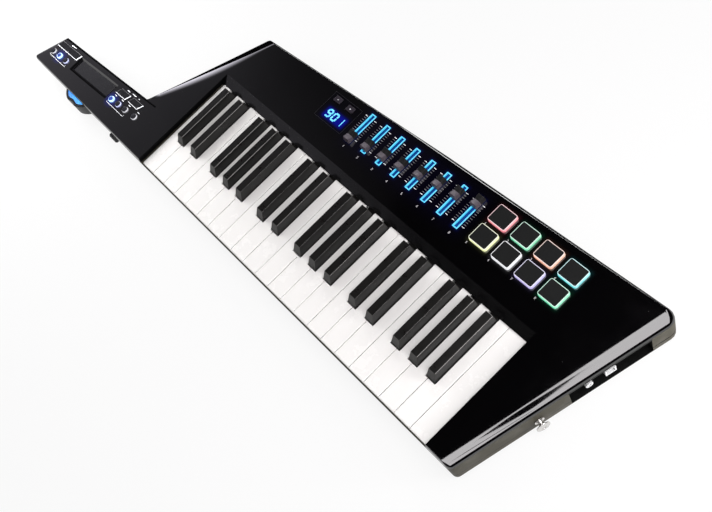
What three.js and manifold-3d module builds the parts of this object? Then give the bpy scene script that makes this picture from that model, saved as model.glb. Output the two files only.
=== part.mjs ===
// Keytar: a shoulder keyboard with 37 keys, a control panel behind them and a control neck.
// Millimetres, +Z up. +X runs to the high notes, +Y to the rear, z = 0 is the flat underside.
// The origin lies on the underside, below the middle of the key well.
import * as THREE from "three";
import { mergeVertices } from "three/addons/utils/BufferGeometryUtils.js";
import Module from "manifold-3d";

const wasm = await Module();
wasm.setup();

// Key sizes
const whitePitch = 23.5;
const whiteCount = 22;
const keyGap = 0.6;
const whiteVisible = 138;
const whiteFrontDrop = 17.5;
const whiteTailDrop = 11.5;
const whiteReliefStart = 58;
const frontChamfer = 1.2;
const keyTop = 33;
const keySkin = 2.2;
const keyWall = 1.8;
const blackWidth = 12.8;
const blackRidgeWidth = 9.5;
const blackFront = 49;
const blackRearGap = 1.5;
const blackRise = 12;
const blackFrontSlope = 6;
const blackRearSlope = 1;
const blackSkirt = 11;
const blackTailWidth = 9.4;
const blackTailDrop = 1.8;
const neighbourGap = 0.8;
const octaveKeys = 7;
const octaves = 3;
// Centres of the black keys as shares of the octave's width
const blackCentreShares = [0.128, 0.3, 0.553, 0.714, 0.875];

// Key pivot and frame
const pivotBehind = 27;
const pivotHeight = 21;
const pivotRadius = 2;
const pivotClearance = 0.3;
const pivotWeb = 2.4;
const hookFront = 5.5;
const hookRear = 6;
const hookDrop = 1;
const frameLift = 0.3;
const framePlate = 2.2;
const frameRailFront = 10;
const frameRailDepth = 24;
const frameMidFront = 54;
const frameMidDepth = 18;
const frameRearFront = 150;
const frameRearDepth = 26;
const frameRib = 9;
const frameSideGap = 1.5;
const guideSide = 7;
const guideDepth = 9;
const guideBehind = 17;
const guideUnderSkin = 10;
const blackGuideSide = 4;
const blackGuideBehind = 12;
const fenceThickness = 2;

// Casing outline, measured from the left edge of the first key
const wall = 2.5;
const railWall = 1.2;
const railGap = 0.3;
const railTop = 17;
const neckReach = 274;
const headSlant = 20;
const headRear = 48.6;
const rootX = 66;
const rootRear = 61;
const slotRearFall = 2.9;
const padRearMargin = 22.35;
const rightFrontX = 552.5;
const rightRearX = 609.5;
const rearBulge = 3;
const rearArcPoints = 3;
const headRadius = 4;
const frontRadius = 6;
const rearRadius = 11;
const leftRadius = 6;
const rootRadius = 5;
const sharpRadius = 0.4;
const cornerSteps = 5;

// Casing heights
const panelRise = 7;
const topDepth = 7.5;
const partingGap = 0.3;
const edgeRise = 7;
const edgeSteps = 5;
// How wide the rounded edge runs in on each side, as a share of its rise
const neckEdgeShare = 0.28;
const rightEdgeShare = 2.07;
const rearEdgeShare = 0.5;
const leftEdgeShare = 2.4;
const rootEdgeShare = 0.1;
const underRadius = 3;
const underSteps = 3;
const neckUnder = 7;
const neckUnderRadius = 10;
const neckUnderSteps = 3;
const neckOverlap = 46;
// Seam round the rear of the lower casing
const seamZ = 10.5;
const seamHeight = 1;
const seamDepth = 0.9;
const seamStartX = -40;

// Key well
const wellSideGap = 2.5;
const lipBehind = 1.5;
const lipAboveKeys = 0.6;
const bevelRun = 11.5;
const bevelLip = 0.8;
const lipLand = 4.5;
const wellWallLength = 140;

// Faders
const faderCount = 8;
const faderFirstX = 199.5;
const faderPitch = 24.95;
const slotWidth = 4.2;
const slotFront = 182.5;
const slotLength = 39.4;
const potWidth = 10;
const potLength = 47;
const potFrontInset = 4;
const potHeight = 7.9;
const potGroove = 3.2;
const potGrooveFloor = 2.4;
const stemWidth = 2;
const stemLength = 5;
const stemClearance = 0.6;
const capWidth = 10;
const capLength = 16;
const capHeight = 9;
const capLift = 0.8;
const capValley = 3.4;
const capShoulder = 1.2;
const capCrest = 3;
// Where each cap stands, as a share of the travel from the front stop
const capPlaceShares = [0.04, 0.17, 0.26, 0.36, 0.52, 0.66, 0.75, 0.93];

// Pads
const padColumns = 4;
const padRows = 2;
const padFirstX = 407.6;
const padFirstY = 191.8;
const padPitchX = 32.3;
const padPitchY = 27.9;
const padWidth = 21.6;
const padDepth = 18.9;
const padCorner = 1.6;
const padFlare = 1.3;
const padProud = 4;
const padGap = 0.5;
const sheetThickness = 2.2;
const sheetGap = 0.3;
const sheetMargin = 3.5;
const plungerRadius = 3;
const plungerGap = 1.2;

// Display
const windowLeft = 136.4;
const windowFront = 181;
const windowWidth = 47.5;
const windowDepth = 37.5;
const windowThickness = 1.2;
const windowGap = 0.3;
const readoutInsetX = 10;
const readoutInsetY = 4;
const readoutWidth = 34;
const readoutDepth = 15;
const readoutTop = 37;
const displayButtonWidth = 11;
const displayButtonDepth = 7.5;
const displayButtonFirstX = 147.5;
const displayButtonPitch = 22;
const displayButtonInset = 7;
const buttonGap = 0.4;
const buttonProud = 0.8;

// Main circuit board
const boardLeft = 128;
const boardRight = 528;
const boardFront = 175;
const boardRearGap = 3.5;
const boardHeight = 27;
const boardThickness = 1.6;
const bossRadius = 3.5;
const bossGap = 0.3;
const bossInset = 7;

// Neck controls
const roundButtonRadius = 3.9;
const headButtonInset = 22.1;
const headButtonPitch = 15.45;
const headButtonY = 22.2;
const headButtonClimb = 0.8;
const headButtonCount = 3;
const neckButtonXs = { first: -108.9, second: -94.3, third: -78.6, last: -58.9 };
const neckButtonY = 29.4;
const neckButtonClimb = 1.1;
const keypadMargin = 1;
const keypadThickness = 2;
const roundButtonProud = 2.2;
const stripHeadGap = 18;
const stripBodyGap = 12.6;
const stripFrontHead = 21.8;
const stripFrontBody = 26.3;
const stripRearHead = 39.8;
const stripRearBody = 45.6;
const stripRecess = 2.1;
const stripRamp = 2.6;
const stripThickness = 1;
const stripGap = 0.3;

// Neck wheel
const wheelOffset = 4.75;
const wheelY = 22;
const wheelRadius = 34;
const wheelBottom = 13.8;
const wheelThickness = 18;
const wheelHub = 8;
const wheelSpread = THREE.MathUtils.degToRad(75);
const wheelSteps = 20;
const scoopSpread = THREE.MathUtils.degToRad(16);
const scoopDepth = 3;
const pinRadius = 3;
const pinClearance = 0.3;
const pinShoulder = 5;
const wheelSlotGap = 2.2;

// Thumb rocker in the neck's front wall
const rockerX = -76;
const rockerZ = 21;
const rockerWidth = 8;
const rockerHeight = 13;
const rockerReach = 4.4;
const rockerValley = 1.1;
const rockerBack = 4;
const rockerAxle = 1.2;
const rockerAxleDepth = 4.4;
const rockerAxleReach = 2;
const rockerSideGap = 0.4;
const rockerEndGap = 0.8;
// How far out the rocker's ends stand, and how far its humps lie from the middle
const rockerEndShare = 0.6;
const rockerHumpShare = 0.6;

// Strap peg
const pegAlong = 97;
const pegZ = 15;
const pegCollar = 5.5;
const pegCollarDepth = 1;
const pegStem = 3.2;
const pegReach = 6.5;
const pegFlange = 7.5;
const pegFlangeDepth = 2;
const pegFlangeRound = 0.8;
const pegRoot = 2.5;
const pegRootDepth = 5.5;
const pegRootGap = 0.3;
const pegSides = 24;

// Connector recess
const recessStart = 133;
const recessLength = 92;
const recessDepth = 13;
const recessTop = 29.5;
const socketZ = 18.5;
const jackAlong = 22;
const jackRadius = 4.2;
const jackBore = 1.75;
const jackReach = 12.5;
const usbAlong = 46;
const usbWidth = 12;
const usbHeight = 10.8;
const usbMouthWidth = 9;
const usbMouthHeight = 8;
const usbMouthDepth = 8;
const usbReach = 12.3;
const socketGap = 0.4;
const socketBoardGap = 6;
const socketBoardMargin = 8;
const socketBoardThickness = 1.6;
const socketBoardFoot = 0.3;

// Battery door
const doorLeft = 205;
const doorRearGap = 1.6;
const doorWidth = 104;
const doorDepth = 42;
const doorThickness = 1.2;
const doorGap = 0.3;
const doorLedge = 2.5;
const doorCatch = 14;
const doorCatchReach = 1.6;

const overrun = 6;
const circleSides = 16;

// Sizes worked out from the ones above
const leftRear = slotFront + slotLength - slotRearFall;
const rightRear = padFirstY + padPitchY * (padRows - 1) + padDepth / 2 + padRearMargin;
const displayButtonY = windowFront + windowDepth - displayButtonInset;
const headButtonFirstX = headButtonInset - neckReach;
const stripHeadX = headButtonFirstX + headButtonPitch * (headButtonCount - 1) + stripHeadGap;
const stripBodyX = neckButtonXs.first - stripBodyGap;
const wheelX = (stripHeadX + stripBodyX) / 2 - wheelOffset;
const keyboardWidth = whitePitch * whiteCount;
const octaveWidth = whitePitch * octaveKeys;
const frontY = -(railWall + railGap);
const panelTop = keyTop + panelRise;
const panelUnder = panelTop - wall;
const parting = panelTop - topDepth;
const pivotY = whiteVisible + pivotBehind;
const wellLeft = -wellSideGap;
const wellRight = keyboardWidth + wellSideGap;
const lipY = whiteVisible + lipBehind;
const lipZ = keyTop + lipAboveKeys;
const frameTop = wall + frameLift + framePlate;
const endAngle = Math.atan2(rightRear - frontY, rightRearX - rightFrontX);
const boardTop = boardHeight + boardThickness;
const sheetTop = panelUnder - sheetGap;
const doorFront = rearAt(doorLeft) - doorRearGap - doorDepth;
const boardRearLeft = rearAt(boardLeft) - boardRearGap;
const boardRearRight = rearAt(boardRight) - boardRearGap;
const blackCentres = [];
for (let octave = 0; octave < octaves; octave++)
  for (const share of blackCentreShares) blackCentres.push((octave + share) * octaveWidth);

// How far back the casing's rear edge lies at a place along the keys, without its bulge
function rearAt(x) {
  return leftRear + ((rightRear - leftRear) * x) / rightRearX;
}

// Turns a closed three.js geometry into a solid that can be cut and joined
function solid(geometry) {
  const bare = new THREE.BufferGeometry();
  const source = geometry.index ? geometry.toNonIndexed() : geometry;
  bare.setAttribute("position", source.getAttribute("position"));
  const merged = mergeVertices(bare);
  return new wasm.Manifold(
    new wasm.Mesh({
      numProp: 3,
      vertProperties: merged.attributes.position.array,
      triVerts: new Uint32Array(merged.index.array),
    }),
  );
}

// A block between two corners
function block(x0, x1, y0, y1, z0, z1) {
  const geometry = new THREE.BoxGeometry(x1 - x0, y1 - y0, z1 - z0);
  return solid(geometry.translate((x0 + x1) / 2, (y0 + y1) / 2, (z0 + z1) / 2));
}

// An upright prism over a plan outline
function prism(points, z0, z1) {
  const shape = new THREE.Shape(points.map(([x, y]) => new THREE.Vector2(x, y)));
  const geometry = new THREE.ExtrudeGeometry(shape, { depth: z1 - z0, bevelEnabled: false });
  return solid(geometry.translate(0, 0, z0));
}

// A bar along X with a side profile given as [y, z] points
function barAlongX(profile, x0, x1) {
  const shape = new THREE.Shape(profile.map(([y, z]) => new THREE.Vector2(y, z)));
  const geometry = new THREE.ExtrudeGeometry(shape, { depth: x1 - x0, bevelEnabled: false });
  const turn = new THREE.Matrix4().set(0, 0, 1, x0, 1, 0, 0, 0, 0, 1, 0, 0, 0, 0, 0, 1);
  return solid(geometry.applyMatrix4(turn));
}

// An upright cylinder
function post(x, y, radius, z0, z1, sides = circleSides) {
  const geometry = new THREE.CylinderGeometry(radius, radius, z1 - z0, sides);
  return solid(geometry.rotateX(Math.PI / 2).translate(x, y, (z0 + z1) / 2));
}

// A solid through a stack of plan outlines with the same number of points
function loft(levels) {
  const count = levels[0].points.length;
  const place = (level, i) => [...levels[level].points[i % count], levels[level].z];
  const positions = [];
  for (let level = 0; level + 1 < levels.length; level++)
    for (let i = 0; i < count; i++) {
      const a = place(level, i);
      const b = place(level, i + 1);
      const c = place(level + 1, i + 1);
      const d = place(level + 1, i);
      positions.push(...a, ...b, ...c, ...a, ...c, ...d);
    }
  const last = levels.length - 1;
  const cap = (level) =>
    THREE.ShapeUtils.triangulateShape(levels[level].points.map((p) => new THREE.Vector2(...p)), []);
  for (const [a, b, c] of cap(0)) positions.push(...place(0, a), ...place(0, c), ...place(0, b));
  for (const [a, b, c] of cap(last))
    positions.push(...place(last, a), ...place(last, b), ...place(last, c));
  const geometry = new THREE.BufferGeometry();
  geometry.setAttribute("position", new THREE.Float32BufferAttribute(positions, 3));
  return solid(geometry);
}

// A counterclockwise outline of round corners, drawn inwards by inset and by rounding on top of it.
// A corner is [x, y, radius] and may add its share of the rounding on the edges before and after it
function outline(corners, inset, rounding = 0) {
  const count = corners.length;
  const ways = corners.map(([x, y], i) => {
    const [nextX, nextY] = corners[(i + 1) % count];
    return new THREE.Vector2(nextX - x, nextY - y).normalize();
  });
  const drawn = corners.map(([x, y, , before = 1, after = 1], i) => {
    const wayIn = ways[(i + count - 1) % count];
    const wayOut = ways[i];
    const insetIn = inset + rounding * before;
    const insetOut = inset + rounding * after;
    const start = new THREE.Vector2(x - wayIn.y * insetIn, y + wayIn.x * insetIn);
    const end = new THREE.Vector2(x - wayOut.y * insetOut, y + wayOut.x * insetOut);
    return start.addScaledVector(wayIn, end.sub(start).cross(wayOut) / wayIn.cross(wayOut));
  });
  const lines = drawn.map((corner, i) => drawn[(i + 1) % count].clone().sub(corner).normalize());
  const points = [];
  corners.forEach(([, , radius, before = 1, after = 1], i) => {
    if (!radius) {
      points.push(drawn[i].toArray());
      return;
    }
    const lineIn = lines[(i + count - 1) % count];
    const side = Math.sign(lineIn.cross(lines[i]));
    const depth = inset + (rounding * (before + after)) / 2;
    const round = Math.max(radius - side * depth, sharpRadius);
    const angle = Math.acos(lineIn.dot(lines[i]));
    const start = drawn[i].clone().addScaledVector(lineIn, -round * Math.tan(angle / 2));
    const centreX = start.x - lineIn.y * round * side;
    const centreY = start.y + lineIn.x * round * side;
    const first = Math.atan2(start.y - centreY, start.x - centreX);
    for (let step = 0; step <= cornerSteps; step++) {
      const at = first + (side * angle * step) / cornerSteps;
      points.push([centreX + round * Math.cos(at), centreY + round * Math.sin(at)]);
    }
  });
  return points;
}

// Levels of an edge rounded from the upright wall at z towards the flat at z + rise
function roundedLevels(corners, inset, z, rise, steps) {
  const levels = [];
  for (let step = 0; step <= steps; step++) {
    const angle = (step / steps) * (Math.PI / 2);
    const rounding = Math.abs(rise) * (1 - Math.cos(angle));
    levels.push({ z: z + rise * Math.sin(angle), points: outline(corners, inset, rounding) });
  }
  return levels;
}

function joined(solids) {
  return solids.reduce((whole, next) => whole.add(next));
}

// A solid moved along by a matrix's turn about Z and a shift
function placed(body, angle, x, y) {
  return body.rotate([0, 0, THREE.MathUtils.radToDeg(angle)]).translate([x, y, 0]);
}

const keytar = new THREE.Group();
const instrument = new THREE.Group();
instrument.position.set(-keyboardWidth / 2, -(whiteVisible - frontY) / 2, 0);
keytar.add(instrument);

// Names a solid, gives it its material and puts it in the instrument
function piece(name, body, material, x = 0, y = 0) {
  const data = body.getMesh();
  const geometry = new THREE.BufferGeometry();
  geometry.setAttribute("position", new THREE.BufferAttribute(data.vertProperties, 3));
  geometry.setIndex(new THREE.BufferAttribute(data.triVerts, 1));
  const flat = geometry.toNonIndexed();
  flat.computeVertexNormals();
  const mesh = new THREE.Mesh(flat, material);
  mesh.name = name;
  mesh.position.set(x, y, 0);
  instrument.add(mesh);
}

function finish(color, roughness, metalness = 0) {
  return new THREE.MeshStandardMaterial({ color, roughness, metalness });
}

const glossBlack = finish("#08080a", 0.08);
const oliveGrey = finish("#56534b", 0.6);
const ivory = finish("#f2f1ec", 0.3);
const ebony = finish("#1a1a1c", 0.45);
const darkPlastic = finish("#2b2b2e", 0.6);
const rubber = finish("#3a3a3d", 0.8);
const smoked = finish("#0a0c14", 0.1);
const boardGreen = finish("#1f4a33", 0.5);
const chrome = finish("#c9c9cc", 0.15, 1);
const frameGrey = finish("#5a5c60", 0.5);

// Corners of the casing, counterclockwise from the head's front
const rearArc = [];
for (let i = 1; i <= rearArcPoints; i++) {
  const share = i / (rearArcPoints + 1);
  const x = rightRearX * (1 - share);
  const chord = rightRear + (leftRear - rightRear) * share;
  rearArc.push([x, chord + rearBulge * Math.sin(Math.PI * share), 0]);
}
const bodyEnd = [
  [rightFrontX, frontY, frontRadius],
  [rightRearX, rightRear, rearRadius],
  ...rearArc,
  [0, leftRear, leftRadius],
];
const neckEdge = [neckEdgeShare, neckEdgeShare];
const bodyEdges = [
  [neckEdgeShare, rightEdgeShare],
  [rightEdgeShare, rearEdgeShare],
  ...rearArc.map(() => [rearEdgeShare, rearEdgeShare]),
  [rearEdgeShare, leftEdgeShare],
];
const casingCorners = [
  [-neckReach, frontY, headRadius, ...neckEdge],
  ...bodyEnd.map((corner, index) => [...corner, ...bodyEdges[index]]),
  [-rootX, rootRear, rootRadius, rootEdgeShare, neckEdgeShare],
  [headSlant - neckReach, headRear, headRadius, ...neckEdge],
];
const bodyCorners = [[-rootX, frontY, rootRadius], ...bodyEnd, [-rootX, rootRear, rootRadius]];
const neckEndX = neckOverlap - rootX;
const neckTaper = (rootRear - headRear) / (neckReach - headSlant - rootX);
const neckCorners = [
  [-neckReach, frontY, headRadius],
  [neckEndX, frontY, rootRadius],
  [neckEndX, rootRear + neckTaper * neckOverlap, rootRadius],
  [headSlant - neckReach, headRear, headRadius],
];

const endCorner = new THREE.Vector2(rightFrontX, frontY);
// In the end wall's own frame +X points out of the wall and +Y runs along it to the rear
function onEndWall(body) {
  return placed(body, endAngle - Math.PI / 2, endCorner.x, endCorner.y);
}

// Pads: a rounded rectangle round each pad's centre
function padOutline(column, row, grow) {
  const x = padFirstX + column * padPitchX;
  const y = padFirstY + row * padPitchY;
  const halfX = padWidth / 2 + grow;
  const halfY = padDepth / 2 + grow;
  const radius = padCorner + grow;
  const corners = [
    [x - halfX, y - halfY, radius],
    [x + halfX, y - halfY, radius],
    [x + halfX, y + halfY, radius],
    [x - halfX, y + halfY, radius],
  ];
  return outline(corners, 0);
}

const faderX = (index) => faderFirstX + index * faderPitch;
const headButton = (index) => [
  headButtonFirstX + index * headButtonPitch,
  headButtonY + index * headButtonClimb,
];
const neckButtons = Object.values(neckButtonXs).map((x, index) => [
  x,
  neckButtonY + index * neckButtonClimb,
]);
const headButtons = Array.from({ length: headButtonCount }, (_, index) => headButton(index));
const displayButtons = [0, 1].map((index) => displayButtonFirstX + index * displayButtonPitch);

function displayButtonBlock(x, grow, z0, z1) {
  const halfX = displayButtonWidth / 2 + grow;
  const halfY = displayButtonDepth / 2 + grow;
  return block(x - halfX, x + halfX, displayButtonY - halfY, displayButtonY + halfY, z0, z1);
}

function stripOutline(inset) {
  return [
    [stripHeadX + inset, stripFrontHead + inset],
    [stripBodyX - inset, stripFrontBody + inset],
    [stripBodyX - inset, stripRearBody - inset],
    [stripHeadX + inset, stripRearHead - inset],
  ];
}

// Top shell: a rounded black casing with the key well, its bevel and every panel opening
function topShell() {
  const base = parting + partingGap;
  const outer = loft([
    { z: base, points: outline(casingCorners, 0) },
    ...roundedLevels(casingCorners, 0, panelTop - edgeRise, edgeRise, edgeSteps),
  ]);
  const innerRise = edgeRise - wall;
  const inner = loft([
    { z: base - overrun, points: outline(casingCorners, wall) },
    ...roundedLevels(casingCorners, wall, panelUnder - innerRise, innerRise, underSteps),
  ]);
  const bevelY = lipY + bevelRun;
  const slope = bevelRun / (panelTop - lipZ - bevelLip);
  const bevelBack = barAlongX(
    [
      [lipY, lipZ],
      [lipY + lipLand, lipZ],
      [bevelY + lipLand, panelTop],
      [lipY, panelTop],
    ],
    wellLeft - wall,
    wellRight + wall,
  );
  const leftWall = block(wellLeft - wall, wellLeft, frontY, bevelY, base, panelTop);
  const rightWall = block(wellRight, wellRight + wall, frontY, bevelY, base, panelTop);
  const cavity = inner.subtract(joined([bevelBack, leftWall, rightWall]));
  const well = barAlongX(
    [
      [frontY - overrun, base - overrun],
      [lipY, base - overrun],
      [lipY, lipZ + bevelLip],
      [bevelY + slope * overrun, panelTop + overrun],
      [frontY - overrun, panelTop + overrun],
    ],
    wellLeft,
    wellRight,
  );
  const cuts = [cavity, well];
  const through = [panelUnder - overrun, panelTop + overrun];
  for (let index = 0; index < faderCount; index++) {
    const x = faderX(index);
    cuts.push(
      block(x - slotWidth / 2, x + slotWidth / 2, slotFront, slotFront + slotLength, ...through),
    );
  }
  for (let column = 0; column < padColumns; column++)
    for (let row = 0; row < padRows; row++)
      cuts.push(prism(padOutline(column, row, padFlare + padGap), ...through));
  for (const [x, y] of [...headButtons, ...neckButtons])
    cuts.push(post(x, y, roundButtonRadius + buttonGap, ...through));
  const recessFloor = panelTop - windowThickness - windowGap;
  const windowRight = windowLeft + windowWidth;
  const windowRear = windowFront + windowDepth;
  cuts.push(
    block(windowLeft, windowRight, windowFront, windowRear, recessFloor, panelTop + overrun),
  );
  const readoutLeft = windowLeft + readoutInsetX;
  const readoutFront = windowFront + readoutInsetY;
  cuts.push(
    block(
      readoutLeft,
      readoutLeft + readoutWidth,
      readoutFront,
      readoutFront + readoutDepth,
      ...through,
    ),
  );
  for (const x of displayButtons) cuts.push(displayButtonBlock(x, buttonGap, ...through));
  const rampOut = (stripRamp * (stripRecess + overrun)) / stripRecess;
  cuts.push(
    loft([
      { z: panelTop - stripRecess, points: stripOutline(0) },
      { z: panelTop + overrun, points: stripOutline(-rampOut) },
    ]),
  );
  return outer.subtract(joined(cuts));
}

// Bottom shell: a tray under the body and a rounded grip under the neck
function bottomShell() {
  const outerBody = loft([
    ...roundedLevels(bodyCorners, 0, underRadius, -underRadius, underSteps).reverse(),
    { z: parting, points: outline(bodyCorners, 0) },
  ]);
  const neckWallFoot = neckUnder + neckUnderRadius;
  const outerNeck = loft([
    ...roundedLevels(neckCorners, 0, neckWallFoot, -neckUnderRadius, neckUnderSteps).reverse(),
    { z: parting, points: outline(neckCorners, 0) },
  ]);
  const innerBody = loft([
    { z: wall, points: outline(bodyCorners, wall) },
    { z: parting + overrun, points: outline(bodyCorners, wall) },
  ]);
  const innerNeckRadius = neckUnderRadius - wall;
  const innerNeck = loft([
    ...roundedLevels(neckCorners, wall, neckWallFoot, -innerNeckRadius, underSteps).reverse(),
    { z: parting + overrun, points: outline(neckCorners, wall) },
  ]);
  const hollow = innerBody.add(innerNeck);
  const keytray = block(
    wellLeft,
    wellRight,
    frontY + railWall,
    frontY + wall + overrun,
    wall,
    parting + overrun,
  );
  const shell = outerBody.add(outerNeck).subtract(hollow).subtract(keytray);

  const floor = wall / 2;
  const added = [];
  const sideRear = frontY + wellWallLength;
  added.push(block(wellLeft - wall, wellLeft, frontY + wall / 2, sideRear, floor, parting));
  added.push(block(wellRight, wellRight + wall, frontY + wall / 2, sideRear, floor, parting));
  const bossTop = boardHeight - bossGap;
  for (const x of [boardLeft + bossInset, (boardLeft + boardRight) / 2, boardRight - bossInset])
    for (const y of [boardFront + bossInset, boardRearLeft - bossInset])
      added.push(post(x, y, bossRadius, floor, bossTop));
  added.push(post(wheelX, wheelY, pinShoulder, neckUnder + floor, wheelBottom - pinClearance));
  added.push(post(wheelX, wheelY, pinRadius, neckUnder + floor, wheelBottom + wheelThickness));
  const recessEnd = recessStart + recessLength;
  added.push(
    onEndWall(
      block(
        -recessDepth - wall,
        -wall / 2,
        recessStart - wall,
        recessEnd + wall,
        floor,
        recessTop + wall,
      ),
    ),
  );
  const bore = wall + pegRootDepth;
  added.push(onEndWall(endCylinder(pegAlong, pegZ, pegCollar, -bore, -wall / 2)));

  const cuts = [];
  const railBack = frontY + railWall + overrun;
  cuts.push(block(wellLeft, wellRight, frontY - overrun, railBack, railTop, parting + overrun));
  const slotHalf = wheelSlotHalf();
  cuts.push(
    block(
      wheelX - slotHalf,
      wheelX + slotHalf,
      frontY - overrun,
      frontY + wall + overrun,
      wheelBottom - pinClearance * 2,
      parting + overrun,
    ),
  );
  const rockerHalf = rockerWidth / 2 + rockerSideGap;
  const rockerRise = rockerHeight / 2 + rockerEndGap;
  cuts.push(
    block(
      rockerX - rockerHalf,
      rockerX + rockerHalf,
      frontY - overrun,
      frontY + wall + overrun,
      rockerZ - rockerRise,
      rockerZ + rockerRise,
    ),
  );
  cuts.push(
    onEndWall(block(-recessDepth, overrun, recessStart, recessEnd, wall, recessTop)),
  );
  cuts.push(
    onEndWall(
      endCylinder(recessStart + jackAlong, socketZ, jackRadius + socketGap, -recessDepth * 2, 0),
    ),
  );
  cuts.push(onEndWall(usbBlock(socketGap, -recessDepth - wall - overrun, 0)));
  cuts.push(
    onEndWall(endCylinder(pegAlong, pegZ, pegRoot + pegRootGap, -bore - overrun, overrun)),
  );
  const doorRight = doorLeft + doorWidth;
  const doorRear = doorFront + doorDepth;
  cuts.push(block(doorLeft, doorRight, doorFront, doorRear, -overrun, doorThickness));
  cuts.push(
    block(
      doorLeft + doorLedge,
      doorRight - doorLedge,
      doorFront + doorLedge,
      doorRear - doorLedge,
      -overrun,
      wall + overrun,
    ),
  );
  cuts.push(rearSeam());
  return shell.add(joined(added)).subtract(joined(cuts));
}

// A shallow seam round the rear of the lower casing, from the recess to the left cheek
function rearSeam() {
  const top = seamZ + seamHeight;
  const ring = prism(outline(bodyCorners, -overrun), seamZ, top).subtract(
    prism(outline(bodyCorners, seamDepth), seamZ - overrun, top + overrun),
  );
  const alongX = endCorner.x + (recessStart + recessLength) * Math.cos(endAngle);
  const alongY = endCorner.y + (recessStart + recessLength) * Math.sin(endAngle);
  const reach = rightRearX + rootX;
  const rear = block(seamStartX, alongX, rearAt(0) - reach, rearAt(0) + reach, seamZ, top);
  const right = block(alongX - wall, alongX + reach, alongY + wall, alongY + reach, seamZ, top);
  const front = block(-reach, reach * 2, -reach, lipY + bevelRun, seamZ - overrun, top + overrun);
  return ring.intersect(rear.add(right)).subtract(front);
}

// Half the wheel slot: half the wheel's chord at the inner face of the neck's front wall
function wheelSlotHalf() {
  const behind = wheelY - frontY - wall;
  return Math.sqrt(wheelRadius ** 2 - behind ** 2) + wheelSlotGap;
}

// A cylinder standing out of the end wall, in the wall's own frame
function endCylinder(along, z, radius, x0, x1) {
  const geometry = new THREE.CylinderGeometry(radius, radius, x1 - x0, circleSides);
  return solid(geometry.rotateZ(Math.PI / 2).translate((x0 + x1) / 2, along, z));
}

function usbBlock(grow, x0, x1) {
  const along = recessStart + usbAlong;
  const halfWidth = usbWidth / 2 + grow;
  const halfHeight = usbHeight / 2 + grow;
  return block(
    x0,
    x1,
    along - halfWidth,
    along + halfWidth,
    socketZ - halfHeight,
    socketZ + halfHeight,
  );
}

// Keybed frame: rails, ribs, the pivot bar and one guide post under each key
function keybedFrame() {
  const left = wellLeft + frameSideGap;
  const right = wellRight - frameSideGap;
  const low = wall + frameLift;
  const inPlate = low + framePlate / 2;
  const rails = [
    [frameRailFront, frameRailDepth],
    [frameMidFront, frameMidDepth],
    [frameRearFront, frameRearDepth],
  ].map(([y, depth]) => block(left, right, y, y + depth, low, frameTop));
  const rear = frameRearFront + frameRearDepth;
  const ribs = [];
  for (let octave = 0; octave <= octaves; octave++) {
    const x = left + ((right - left - frameRib) * octave) / octaves;
    ribs.push(block(x, x + frameRib, frameRailFront, rear, low, frameTop));
  }
  const profile = [];
  const webAngle = Math.asin(pivotWeb / 2 / pivotRadius);
  const arc = 2 * Math.PI - 2 * webAngle;
  for (let step = 0; step <= circleSides; step++) {
    const at = -Math.PI / 2 + webAngle + (arc * step) / circleSides;
    profile.push([pivotY + pivotRadius * Math.cos(at), pivotHeight + pivotRadius * Math.sin(at)]);
  }
  profile.push([pivotY - pivotWeb / 2, inPlate], [pivotY + pivotWeb / 2, inPlate]);
  const pivotBar = barAlongX(profile, left, right);
  const fence = block(left, right, rear - fenceThickness, rear, inPlate, pivotHeight);
  const posts = [];
  for (let index = 0; index < whiteCount; index++) {
    const x = (index + 1 / 2) * whitePitch;
    const top = keyTop - keySkin - guideUnderSkin;
    const half = guideSide / 2;
    posts.push(block(x - half, x + half, guideBehind, guideBehind + guideDepth, inPlate, top));
  }
  for (const x of blackCentres) {
    const y = blackFront + blackGuideBehind;
    const top = keyTop + blackRise - keySkin - guideUnderSkin - blackFrontSlope;
    posts.push(
      block(x - blackGuideSide / 2, x + blackGuideSide / 2, y, y + guideDepth, inPlate, top),
    );
  }
  return joined([...rails, ...ribs, pivotBar, fence, ...posts]);
}

// The hook that hangs a key on the pivot bar, and the notch cut into it
function pivotHook(x0, x1, top) {
  return block(x0, x1, pivotY - hookFront, pivotY + hookRear, pivotHeight - hookDrop, top);
}
function pivotNotch(x0, x1) {
  const radius = pivotRadius + pivotClearance;
  const open = pivotHeight - hookDrop - overrun;
  const profile = [[pivotY - radius, open]];
  profile.push([pivotY + radius, open]);
  for (let step = 0; step <= circleSides / 2; step++) {
    const at = (Math.PI * step) / (circleSides / 2);
    profile.push([pivotY + radius * Math.cos(at), pivotHeight + radius * Math.sin(at)]);
  }
  return barAlongX(profile, x0 - overrun, x1 + overrun);
}

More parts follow.
